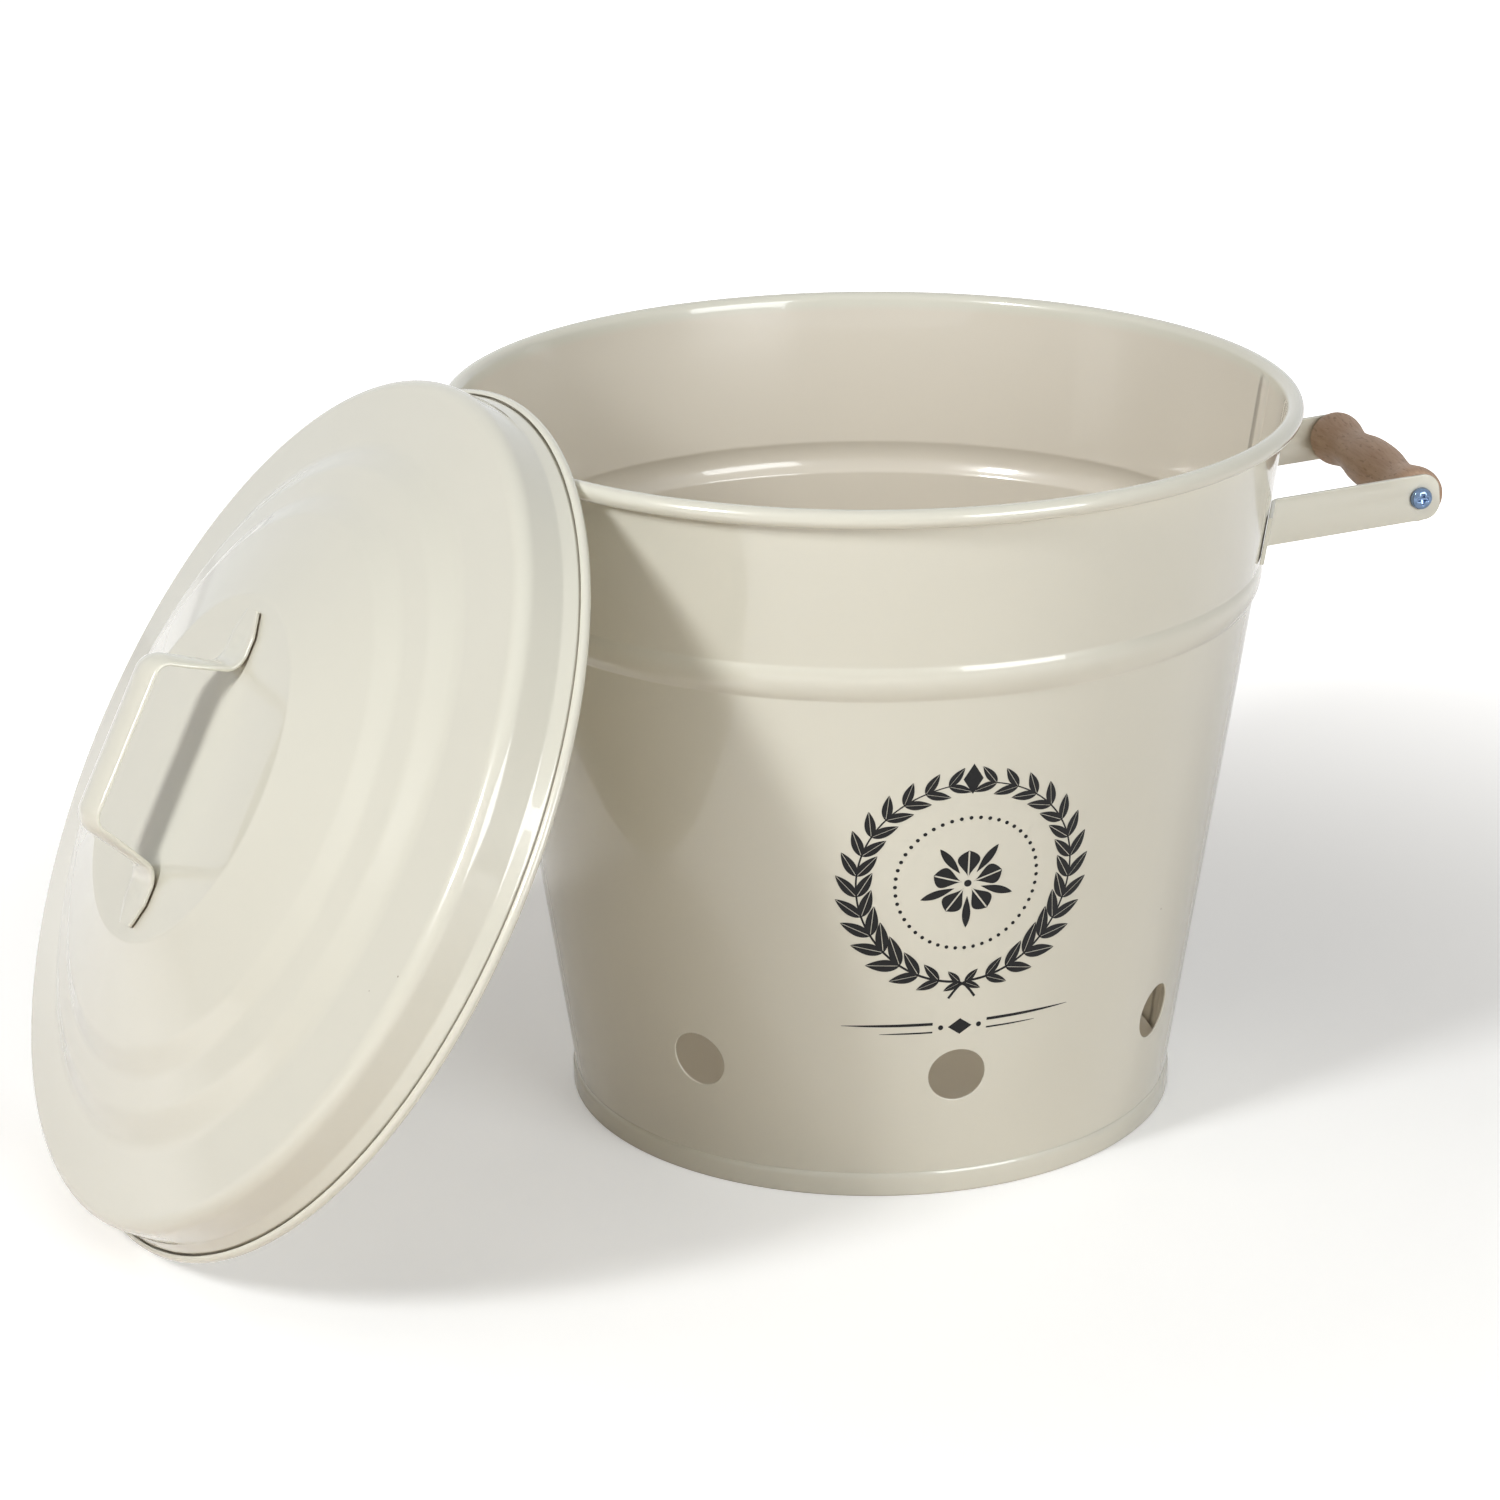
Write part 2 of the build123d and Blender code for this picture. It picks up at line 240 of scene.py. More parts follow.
def makeEnamelFlow():  # how the fired glaze lies: slow waves, fine orange peel, a few specks
    tree, given, result = newTree("enamelFlow", "Shader", {
        "Wave Size": 0.04, "Wave Depth": 0.03, "Peel Size": 0.0016, "Peel Depth": 0.001,
        "Tone Scale": 9.0, "Speck Scale": 120.0, "Speck Core": 0.02, "Speck Edge": 0.05,
        "Speck Share": 0.01,
    }, {"Height": "Float", "Tone": "Float", "Speck": "Float"})
    where = put(tree, "ShaderNodeTexCoord").outputs["Object"]
    waveScale = reckon(tree, "DIVIDE", 1.0, given["Wave Size"])
    peelScale = reckon(tree, "DIVIDE", 1.0, given["Peel Size"])
    wave = noise(tree, where, waveScale, 1.0)
    peel = noise(tree, where, peelScale, 1.5)
    tone = noise(tree, where, given["Tone Scale"], 4.0, Roughness=0.6)
    cells = put(tree, "ShaderNodeTexVoronoi", {"Vector": where, "Scale": given["Speck Scale"]})
    near = spread(tree, cells.outputs["Distance"], (1.0, 0.0), (given["Speck Core"], given["Speck Edge"]))
    shade = put(tree, "ShaderNodeSeparateColor", {"Color": cells.outputs["Color"]}).outputs[0]
    rare = reckon(tree, "GREATER_THAN", shade, reckon(tree, "SUBTRACT", 1.0, given["Speck Share"]))
    speck = reckon(tree, "MULTIPLY", near, rare)
    waved = reckon(tree, "MULTIPLY", wave, given["Wave Depth"])
    peeled = reckon(tree, "MULTIPLY", peel, given["Peel Depth"])
    tree.links.new(reckon(tree, "ADD", waved, peeled), result["Height"])
    tree.links.new(tone, result["Tone"])
    tree.links.new(speck, result["Speck"])
    return tree


def makeWoodGrain():  # long pores and short flecks that run along Y
    tree, given, result = newTree("turnedGrain", "Shader", {
        "Pore Size": 0.0011, "Pore Length": 0.02, "Fleck Size": 0.0012, "Fleck Length": 0.004,
        "Band Size": 0.005, "Band Length": 0.06, "Fleck From": 0.58, "Fleck To": 0.68,
        "Fleck Depth": 0.4, "Seed": 0.0,
    }, {"Band": "Float", "Pore": "Float", "Fleck": "Float", "Height": "Float"})
    where = put(tree, "ShaderNodeTexCoord").outputs["Object"]
    offset = vector(tree, X=given["Seed"], Y=given["Seed"])
    moved = put(tree, "ShaderNodeVectorMath", {0: where, 1: offset}, operation="ADD")

    def stretched(size, length):
        across = reckon(tree, "DIVIDE", 1.0, size)
        along = reckon(tree, "DIVIDE", 1.0, length)
        scale = vector(tree, X=across, Y=along, Z=across)
        node = put(tree, "ShaderNodeVectorMath", {0: moved.outputs[0], 1: scale}, operation="MULTIPLY")
        return node.outputs[0]

    def streaks(kind, detail, **more):
        where = stretched(given[kind + " Size"], given[kind + " Length"])
        return noise(tree, where, 1.0, detail, **more)

    pore = streaks("Pore", 5.0, Roughness=0.65)
    fleckMask = spread(tree, streaks("Fleck", 2.0), source=(given["Fleck From"], given["Fleck To"]))
    tree.links.new(streaks("Band", 2.0), result["Band"])
    tree.links.new(pore, result["Pore"])
    tree.links.new(fleckMask, result["Fleck"])
    sunk = reckon(tree, "MULTIPLY", fleckMask, given["Fleck Depth"])
    tree.links.new(reckon(tree, "SUBTRACT", pore, sunk), result["Height"])
    return tree


def makePaintedJointShade():  # painted shade: brown darkening in tight joints and gaps, where ambient occlusion finds the surface hemmed in
    tree, given, result = newTree("paintedJointShade", "Shader", {
        "Reach": 0.002, "Shut": 0.15, "Open": 0.6, "Share": 0.7,
    }, {"Amount": "Float"})
    reach = {"Distance": given["Reach"]}
    around = put(tree, "ShaderNodeAmbientOcclusion", reach, samples=6, only_local=False)
    amount = spread(tree, around.outputs["AO"], (1.0, 0.0), (given["Shut"], given["Open"]))
    tree.links.new(reckon(tree, "MULTIPLY", amount, given["Share"]), result["Amount"])
    return tree


enamelFlow = makeEnamelFlow()
paintedJointShade = makePaintedJointShade()
woodGrain = makeWoodGrain()


# finishes

def newMaterial(name):
    material = bpy.data.materials.new(name)
    material.use_nodes = True
    tree = material.node_tree
    tree.nodes.clear()
    shader = put(tree, "ShaderNodeBsdfPrincipled")
    put(tree, "ShaderNodeOutputMaterial", {"Surface": shader.outputs[0]})
    return material, tree, shader.inputs


def placeGroup(tree, group, values):
    return put(tree, "ShaderNodeGroup", values, node_tree=group).outputs


def bumped(tree, shader, height, depth):  # one Bump node on the shader's normal
    bump = put(tree, "ShaderNodeBump", {"Height": height, "Distance": depth * mm}).outputs[0]
    tree.links.new(bump, shader["Normal"])
    return bump


enamelLook = {
    "pale": (0.768, 0.757, 0.660, 1), "deep": (0.740, 0.725, 0.622, 1), "speck": (0.30, 0.24, 0.16, 1),
    # the inside colour is painted warm bounce light for the inner faces
    # the joint colour is painted shade for tight joints and gaps
    "inside": (0.768, 0.715, 0.615, 1), "jointShade": (0.36, 0.27, 0.19, 1), "jointReach": 0.0022,
    "jointShare": 0.7, "roughness": (0.2, 0.26), "tones": (0.3, 0.7), "coat": 1.0, "coatRoughness": 0.02,
    "waveSize": 0.045, "waveDepth": 0.05, "peelSize": 0.0022, "peelDepth": 0.0012, "depth": 1.0,
}


def makeEnamel(name, look):
    material, tree, shader = newMaterial(name)
    flow = placeGroup(tree, enamelFlow, {
        "Wave Size": look["waveSize"], "Wave Depth": look["waveDepth"],
        "Peel Size": look["peelSize"], "Peel Depth": look["peelDepth"],
    })
    ground = blend(tree, flow["Tone"], look["pale"], look["deep"])
    # painted bounce light: inner faces take a warmer colour that stands in for warm light thrown about inside
    # the bin
    inside = put(tree, "ShaderNodeAttribute", attribute_name="inside").outputs["Fac"]
    bounceWarmed = blend(tree, inside, ground, look["inside"])
    specked = blend(tree, flow["Speck"], bounceWarmed, look["speck"])
    # painted shade: ambient occlusion browns tight joints, left off the inner faces
    jointShade = placeGroup(tree, paintedJointShade, {"Reach": look["jointReach"], "Share": look["jointShare"]})
    jointShadeAmount = reckon(tree, "MULTIPLY", jointShade[0], reckon(tree, "SUBTRACT", 1.0, inside))
    tree.links.new(blend(tree, jointShadeAmount, specked, look["jointShade"]), shader["Base Color"])
    tree.links.new(spread(tree, flow["Tone"], look["roughness"], look["tones"]), shader["Roughness"])
    tree.links.new(bumped(tree, shader, flow["Height"], look["depth"]), shader["Coat Normal"])
    shader["Coat Weight"].default_value = look["coat"]
    shader["Coat Roughness"].default_value = look["coatRoughness"]
    return material


woodLook = {
    "pale": (0.56, 0.385, 0.27, 1), "mid": (0.43, 0.275, 0.185, 1), "fleck": (0.24, 0.14, 0.09, 1),
    "roughness": (0.6, 0.42), "poreShare": 0.7, "bandShare": 0.5, "fleckShare": 0.55, "depth": 0.12,
    "tones": (0.42, 0.78), "seed": 0.37,
}


def makeWood(name, look):
    material, tree, shader = newMaterial(name)
    grain = placeGroup(tree, woodGrain, {"Seed": look["seed"]})
    bands = reckon(tree, "MULTIPLY", grain["Band"], look["bandShare"])
    mixed = reckon(tree, "MULTIPLY_ADD", grain["Pore"], look["poreShare"], bands)
    share = spread(tree, mixed, source=look["tones"])
    ground = blend(tree, share, look["mid"], look["pale"])
    flecks = reckon(tree, "MULTIPLY", grain["Fleck"], look["fleckShare"])
    tree.links.new(blend(tree, flecks, ground, look["fleck"]), shader["Base Color"])
    tree.links.new(spread(tree, grain["Pore"], look["roughness"]), shader["Roughness"])
    bumped(tree, shader, grain["Height"], look["depth"])
    return material


def clouded(tree, shader, look):  # two tones and a roughness that follow one fine noise
    where = put(tree, "ShaderNodeTexCoord").outputs["Object"]
    cloud = noise(tree, where, look["scale"], look["detail"])
    tree.links.new(blend(tree, cloud, *look["tones"]), shader["Base Color"])
    tree.links.new(spread(tree, cloud, look["roughness"]), shader["Roughness"])
    return cloud


zincLook = {
    "tones": ((0.30, 0.40, 0.58, 1), (0.10, 0.17, 0.30, 1)), "roughness": (0.08, 0.22),
    "scale": 900.0, "detail": 4.0, "depth": 0.01,
}


def makeZinc(name, look):
    material, tree, shader = newMaterial(name)
    bumped(tree, shader, clouded(tree, shader, look), look["depth"])
    shader["Metallic"].default_value = 1.0
    return material


inkLook = {
    "tones": ((0.005, 0.005, 0.006, 1), (0.012, 0.012, 0.013, 1)), "roughness": (0.3, 0.42),
    "scale": 1400.0, "detail": 3.0, "shine": 0.3,
}


def makeInk(name, look):
    material, tree, shader = newMaterial(name)
    clouded(tree, shader, look)
    shader["Specular IOR Level"].default_value = look["shine"]
    return material


creamEnamel = makeEnamel("creamEnamel", enamelLook)
oiledBeech = makeWood("oiledBeech", woodLook)
brightZinc = makeZinc("brightZinc", zincLook)
blackInk = makeInk("blackInk", inkLook)
print("finishes made")


# turned forms: a profile taken round an axis

def roundAxis(tree, radius, angle, height):  # a place given by radius, angle and height
    x = reckon(tree, "MULTIPLY", radius, reckon(tree, "COSINE", angle))
    y = reckon(tree, "MULTIPLY", radius, reckon(tree, "SINE", angle))
    return vector(tree, X=x, Y=y, Z=height)


def dress(tree, geometry, material, end):  # the last nodes of a piece's tree
    shaded = put(tree, "GeometryNodeSetShadeSmooth", {"Geometry": geometry})
    real = put(tree, "GeometryNodeRealizeInstances", {"Geometry": shaded.outputs[0]})
    dressed = put(tree, "GeometryNodeSetMaterial", {"Geometry": real.outputs[0], "Material": material})
    tree.links.new(dressed.outputs[0], end)


def makeTurning():
    tree, given, result = newTree("turnedForm", "Geometry", {
        "Profile": "Object", "Segments": 360, "Material": "Material",
    }, {"Geometry": "Geometry"})
    profile = shapeOf(tree, given["Profile"])
    rows = put(tree, "GeometryNodeAttributeDomainSize", {"Geometry": profile}).outputs["Point Count"]
    columns = reckon(tree, "ADD", given["Segments"], 1.0)
    grid = put(tree, "GeometryNodeMeshGrid", {"Vertices X": columns, "Vertices Y": rows})
    index = put(tree, "GeometryNodeInputIndex").outputs[0]
    row = reckon(tree, "MODULO", index, rows)
    column = reckon(tree, "FLOOR", reckon(tree, "DIVIDE", reckon(tree, "ADD", index, 0.5), rows))
    angle = reckon(tree, "MULTIPLY", reckon(tree, "DIVIDE", column, given["Segments"]), math.tau)
    spot = put(tree, "GeometryNodeSampleIndex", {
        "Geometry": profile, "Value": put(tree, "GeometryNodeInputPosition").outputs[0], "Index": row,
    }, data_type="FLOAT_VECTOR")
    parts = partsOf(tree, spot.outputs[0])
    turned = roundAxis(tree, parts["X"], angle, parts["Z"])
    form = put(tree, "GeometryNodeSetPosition", {"Geometry": grid.outputs["Mesh"], "Position": turned})
    closed = put(tree, "GeometryNodeMergeByDistance", {"Geometry": form.outputs[0], "Distance": 0.002 * mm})
    dress(tree, closed.outputs[0], given["Material"], result[0])
    return tree


turning = makeTurning()


def turn(name, path, material, segments=360):
    profile = chain(name + "Profile", path)
    return grow(name, turning, {"Profile": profile, "Segments": segments, "Material": material})


def markInside(piece, top):  # marks the inner faces for painted bounce light, a warmer glaze colour standing in for warm light thrown about inside; the material reads this mark
    mark = piece.data.attributes.new("inside", "FLOAT", "POINT")
    for vert in piece.data.vertices:
        outwards = Vector((vert.co.x, vert.co.y, 0)).normalized()
        if vert.co.z < top * mm and vert.normal.z - vert.normal.dot(outwards) > 0.5:
            mark.data[vert.index].value = 1.0


def outward(piece):  # turns a closed shell's faces outwards
    edit = bmesh.new()
    edit.from_mesh(piece.data)
    if edit.calc_volume(signed=True) < 0:
        bmesh.ops.reverse_faces(edit, faces=edit.faces)
        edit.to_mesh(piece.data)
    edit.free()


# the bin's wall
wallLook = {  # lean is in radians
    "foot": (113.0, 8.5), "bottom": 0.9, "lean": 0.14473, "sheet": 0.8,
    "curlCentre": (152.75, 264.25), "curlRadius": 3.24, "curlTurn": -305.0,
    "swageHeight": 203.0, "swageHalf": 6.0, "swageDepth": 1.6, "swageBlend": 2.0,
    "ventHeight": 48.4, "ventRadius": 10.3, "ventAngles": (224, 270, 316, 44, 90, 136),
    "blockCells": 8, "holeCells": 5, "edge": 0.32, "edgeSteps": 3, "sharpFrom": 40, "insideTop": 262,
    "lapAngle": -2.5, "lapWidth": 2.57, "lapStep": 0.4, "lapFrom": 8.2, "lapTo": 261.0,
    "lapBeside": 0.06, "lapWithin": 0.07, "lowRows": (1.6, 8.0, 16.0, 24.0), "midRows": 16,
    "ringRow": 0.5, "ringRows": 16, "topShares": (0.2, 0.4, 0.6, 0.8, 0.93, 0.985),
}


def wallRadius(height):  # of the outer face
    return wallLook["foot"][0] + (height - wallLook["foot"][1]) * math.tan(wallLook["lean"])


def innerRadius(height):
    return wallRadius(height) - wallLook["sheet"] / math.cos(wallLook["lean"])


ventCell = innerRadius(wallLook["ventHeight"]) * math.radians(1)  # the grid's columns are a degree apart


def swageRise(along):  # how far the pressed ring stands out, from its middle
    half, depth, blend = wallLook["swageHalf"], wallLook["swageDepth"], wallLook["swageBlend"]
    radius = (half * half + depth * depth) / (2 * depth)
    foot = math.sqrt((radius + blend) ** 2 - (radius - depth + blend) ** 2)
    crest = foot * radius / (radius + blend)
    along = abs(along)
    if along < crest:
        return math.sqrt(radius * radius - along * along) - radius + depth
    if along < foot:
        return blend - math.sqrt(blend * blend - (foot - along) ** 2)
    return 0.0


def wallPath():  # rows of points up the inner face, then round the curl
    look = wallLook
    cells, rows, gaps = look["blockCells"], look["ringRows"], look["midRows"]
    block = [look["ventHeight"] + ventCell * step for step in range(-cells, cells + 1)]
    ring = [look["swageHeight"] + look["ringRow"] * step for step in range(-rows, rows + 1)]
    between = [block[-1] + (ring[0] - block[-1]) * step / gaps for step in range(1, gaps)]
    above = [ring[-1] + (look["curlCentre"][1] - ring[-1]) * share for share in look["topShares"]]
    heights = [look["bottom"], *look["lowRows"], *block, *between, *ring, *above]
    straight = [Vector((innerRadius(h) + swageRise(h - look["swageHeight"]), h)) for h in heights]
    start = 180 - math.degrees(look["lean"])
    return straight + arcPath(look["curlCentre"], look["curlRadius"], start, look["curlTurn"])


def openVents(piece):  # the grid round each vent is drawn in to a circle, and its middle is taken out
    edit = bmesh.new()
    edit.from_mesh(piece.data)
    lost = []
    cells, hole = wallLook["blockCells"], wallLook["holeCells"]
    outside = cells + 0.01  # in cells, past the block's own edge
    reach = innerRadius(wallLook["ventHeight"])
    for vert in edit.verts:
        up = (vert.co.z / mm - wallLook["ventHeight"]) / ventCell
        if abs(up) > outside:
            continue
        angle = math.degrees(math.atan2(vert.co.y, vert.co.x))
        for vent in wallLook["ventAngles"]:
            side = (angle - vent + 180) % 360 - 180
            away = max(abs(side), abs(up))
            if away > outside:
                continue
            if away < hole - 0.5:
                lost.append(vert)
                continue
            ring = round(away)
            share = (ring - hole) / (cells - hole)
            bearing = math.atan2(up, side)
            onHole = Vector((math.cos(bearing), math.sin(bearing))) * wallLook["ventRadius"]
            onBlock = Vector((side, up)) * ventCell * cells / ring
            spot = onHole.lerp(onBlock, share)
            height = wallLook["ventHeight"] + spot.y
            turned = math.radians(vent) + spot.x / reach
            radius = innerRadius(height)
            vert.co = Vector((radius * math.cos(turned), radius * math.sin(turned), height)) * mm
    bmesh.ops.delete(edit, geom=lost, context="VERTS")
    edit.to_mesh(piece.data)
    edit.free()


def lapColumn(angle):  # columns beside the lap seam are drawn up to its edges
    half = wallLook["lapWidth"] / 2
    over, under = half + wallLook["lapBeside"], half - wallLook["lapWithin"]
    moves = {-4: -over, -3: -under, -2: under, -1: over}
    near = round(angle)
    if near in moves and math.isclose(angle, near, abs_tol=0.01):
        return wallLook["lapAngle"] + moves[near]
    return angle


def pinchLap(piece):
    for vert in piece.data.vertices:
        angle = math.degrees(math.atan2(vert.co.y, vert.co.x))
        moved = lapColumn(angle)
        if moved != angle:
            radius = math.hypot(vert.co.x, vert.co.y)
            vert.co.x = radius * math.cos(math.radians(moved))
            vert.co.y = radius * math.sin(math.radians(moved))


def raiseLap(piece):  # the lapped strip stands in from the inner face
    look = wallLook
    slack = 0.2  # what still counts as the inner face
    for vert in piece.data.vertices:
        height = vert.co.z / mm
        if not look["lapFrom"] < height < look["lapTo"]:
            continue
        radius = math.hypot(vert.co.x, vert.co.y) / mm
        if radius > innerRadius(height) + swageRise(height - look["swageHeight"]) + slack:
            continue
        angle = math.degrees(math.atan2(vert.co.y, vert.co.x))
        if abs(angle - look["lapAngle"]) < look["lapWidth"] / 2:
            shrink = (radius - look["lapStep"]) / radius
            vert.co.x *= shrink
            vert.co.y *= shrink


binWall = turn("binWallShell", wallPath(), creamEnamel)
pinchLap(binWall)
openVents(binWall)
thicken(binWall, wallLook["sheet"])
roundEdges(binWall, wallLook)
settle(binWall)
raiseLap(binWall)
outward(binWall)
markInside(binWall, wallLook["insideTop"])
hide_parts("bin_wall")
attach(binWall, "bin")
print("wall made")


# the base pan
panLook = {
    "footRadius": 113.9, "floor": 7.7, "sheet": 0.8, "channel": 110.98, "insideTop": 8,
    "shoulder": ((113.04, 8.75), (113.3, 8.5), (113.6, 7.9), (113.82, 7.0), (113.9, 5.8)),
    "floorBends": (0.6, 0.2, 0.2), "footBends": (0.5, 0.3, 0.2), "turnStep": 22, "gap": 12,
}


def panPath():  # the band's top runs out on the wall, as the glaze leaves it
    look = panLook
    foot, sheet, channel, floor = look["footRadius"], look["sheet"], look["channel"], look["floor"]
    inner, below = channel - sheet, floor - sheet
    upper = [(0, floor), (channel, floor), (channel, sheet), (foot - sheet, sheet), look["shoulder"][0]]
    lower = [look["shoulder"][-1], (foot, 0), (inner, 0), (inner, below), (0, below)]
    band = easedThrough([Vector(spot) for spot in look["shoulder"]], 4)
    over = roundedPath(upper, look["floorBends"], look["turnStep"])
    under = roundedPath(lower, look["footBends"], look["turnStep"])
    return divided(over[:-1] + band[:-1] + under, look["gap"])


binBase = turn("basePan", panPath(), creamEnamel)
outward(binBase)
markInside(binBase, panLook["insideTop"])
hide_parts("bin_base")
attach(binBase, "bin")
print("base made")


# the four strap arms keep their solids, with softened edges
armLook = {"edge": 0.45, "edgeSteps": 4, "sharpFrom": 40, "merge": 0.003, "flatTurn": 0.3}


def softCopy(node, name, look):
    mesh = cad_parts[node].data.copy()
    mesh.name = name
    edit = bmesh.new()
    edit.from_mesh(mesh)
    bmesh.ops.remove_doubles(edit, verts=edit.verts, dist=look["merge"] * mm)
    flat = math.radians(look["flatTurn"])
    bmesh.ops.dissolve_limit(edit, angle_limit=flat, verts=edit.verts, edges=edit.edges)
    edit.to_mesh(mesh)
    edit.free()
    mesh.materials.clear()
    mesh.materials.append(creamEnamel)
    mesh.shade_smooth()
    copy = objectFrom(name, mesh)
    roundEdges(copy, look)
    return settle(copy)


for side in ("right", "left"):
    for end in ("front", "rear"):
        node = f"{side}_handle_{end}_arm"
        arm = softCopy(node, f"{side}Handle{end.capitalize()}Arm", armLook)
        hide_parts(node)
        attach(arm, "bin")
print("arms made")


# grips
gripLook = {
    "reach": 196.4, "height": 224.5, "half": 43.2, "end": 9.0,
    "chamfer": ((0.4, -0.4), (0.1, -0.1), (-0.3, 0)),
    "hole": (2.1, 2.05), "holeDepth": 2, "segments": 64,
    "places": (
        (0, 9.8), (8, 9.5), (16, 8.4), (24.2, 7.9), (31, 8.9), (36.5, 9.95), (39.7, 10.15), (42.0, 9.75),
    ),
}


def gripPath():  # from the bottom of one screw hole, over the side, to the bottom of the other
    look = gripLook
    half, (mouth, deep) = look["half"], look["hole"]
    bottom = half - look["holeDepth"]
    places = [Vector((radius, along)) for along, radius in look["places"]]
    side = easedThrough([Vector((v.x, -v.y)) for v in places[:0:-1]] + places)
    chamfer = [(look["end"] + out, half + along) for out, along in look["chamfer"]]
    end = [Vector(spot) for spot in chamfer + [(mouth, half), (deep, bottom), (0, bottom)]]
    return [Vector((v.x, -v.y)) for v in reversed(end)] + side + end


for side, sign in (("right", 1), ("left", -1)):
    grip = turn(side + "WoodGrip", gripPath(), oiledBeech, gripLook["segments"])
    outward(grip)
    middle = Vector((sign * gripLook["reach"], 0, gripLook["height"])) * mm
    place(grip, Matrix.Translation(middle) @ Matrix.Rotation(math.radians(-90), 4, "X"))
    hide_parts(side + "_grip")
    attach(grip, side + "_bar")
print("grips made")


# pan-head screws
screwLook = {
    "under": 45.15, "headRadius": 4.1, "headHeight": 2.7, "rim": 0.7, "domePower": 2.6, "domeFullness": 0.55,
    "shank": 2.0, "length": 24.0, "point": 3.0, "turns": 48, "rings": 22, "spin": 0.9, "seed": 4,
    "crossWidth": 1.1, "crossLength": 4.4, "crossDepth": 1.5, "crossEdge": 0.12, "crossEnd": 0.15,
    "crossSlope": 0.2, "crossEndSlope": 0.5, "crossRise": 0.7,
}


def screwTop(x, y):  # height of the head's domed top, with the cross cut into it
    look = screwLook
    share = min(1.0, math.hypot(x, y) / look["headRadius"])
    dome = look["headHeight"] - look["rim"]
    level = look["rim"] + dome * (1 - share ** look["domePower"]) ** look["domeFullness"]
    for a, b in ((abs(x), abs(y)), (abs(y), abs(x))):
        across = (look["crossWidth"] / 2 + look["crossEdge"] - b) / look["crossSlope"]
        along = (look["crossLength"] / 2 + look["crossEnd"] - a) / look["crossEndSlope"]
        cut = max(0.0, min(1.0, across, along))
        if cut > 0:
            floor = look["crossDepth"] * cut * (1 - look["crossRise"] * a / look["crossLength"])
            level = min(level, look["headHeight"] - floor)
    return level


def screwBlank():  # head up along Z, seated at 0
    look = screwLook
    turns, rings, radius = look["turns"], look["rings"], look["headRadius"]
    angles = [math.tau * step / turns for step in range(turns)]
    compass = [(math.cos(angle), math.sin(angle)) for angle in angles]
    points, faces = [], []
    for ring in range(rings + 1):
        r = radius * ring / rings
        points += [(r * c, r * s, screwTop(r * c, r * s)) for c, s in compass]
    shank, length = look["shank"], look["length"]
    below = ((radius, 0), (shank, 0), (shank, look["point"] - length), (0.0, -length))
    for r, z in below:
        points += [(r * c, r * s, z) for c, s in compass]
    for ring in range(rings + len(below)):
        start = ring * turns
        for step in range(turns):
            after = (step + 1) % turns
            faces.append((start + step, start + turns + step, start + turns + after, start + after))
    blank = plainMesh("screwBlank", [Vector(p) * mm for p in points], faces=faces)
    edit = bmesh.new()
    edit.from_mesh(blank.data)
    bmesh.ops.remove_doubles(edit, verts=edit.verts, dist=0.001 * mm)
    edit.to_mesh(blank.data)
    edit.free()
    return blank


def makeScrewPair():
    tree, given, result = newTree("screwPair", "Geometry", {
        "Screw": "Object", "Middle": (0.0, 0.0, 0.0), "Half Distance": 0.045, "Seed": 0, "Spin": 0.9,
        "Material": "Material",
    }, {"Geometry": "Geometry"})
    reach = vector(tree, Y=given["Half Distance"])
    start = put(tree, "ShaderNodeVectorMath", {0: given["Middle"], 1: reach}, operation="SUBTRACT").outputs[0]
    span = put(tree, "ShaderNodeVectorMath", {0: reach, 1: (2, 2, 2)}, operation="MULTIPLY").outputs[0]
    line = put(tree, "GeometryNodeMeshLine", {"Count": 2, "Start Location": start, "Offset": span})
    index = put(tree, "GeometryNodeInputIndex").outputs[0]
    chance = put(tree, "FunctionNodeRandomValue", {"Seed": given["Seed"]})
    tilt = reckon(tree, "MULTIPLY_ADD", index, -math.pi, math.pi / 2)
    spin = reckon(tree, "MULTIPLY", reckon(tree, "SUBTRACT", chance.outputs[1], 0.5), given["Spin"])
    both = {0: rotation(tree, X=tilt), 1: rotation(tree, Z=spin)}
    aimed = put(tree, "FunctionNodeRotateRotation", both, rotation_space="LOCAL")
    screw = shapeOf(tree, given["Screw"], True)
    pair = put(tree, "GeometryNodeInstanceOnPoints", {
        "Points": line.outputs[0], "Instance": screw, "Rotation": aimed.outputs[0],
    })
    dress(tree, pair.outputs[0], given["Material"], result[0])
    return tree


screwPair = makeScrewPair()
for side, sign in (("right", 1), ("left", -1)):
    screws = grow(side + "Screws", screwPair, {
        "Screw": screwBlank(), "Middle": (sign * gripLook["reach"] * mm, 0.0, gripLook["height"] * mm),
        "Half Distance": screwLook["under"] * mm, "Spin": screwLook["spin"], "Seed": screwLook["seed"] + sign,
        "Material": brightZinc,
    })
    outward(screws)
    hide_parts(side + "_grip_screws")
    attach(screws, side + "_bar")
print("screws made")


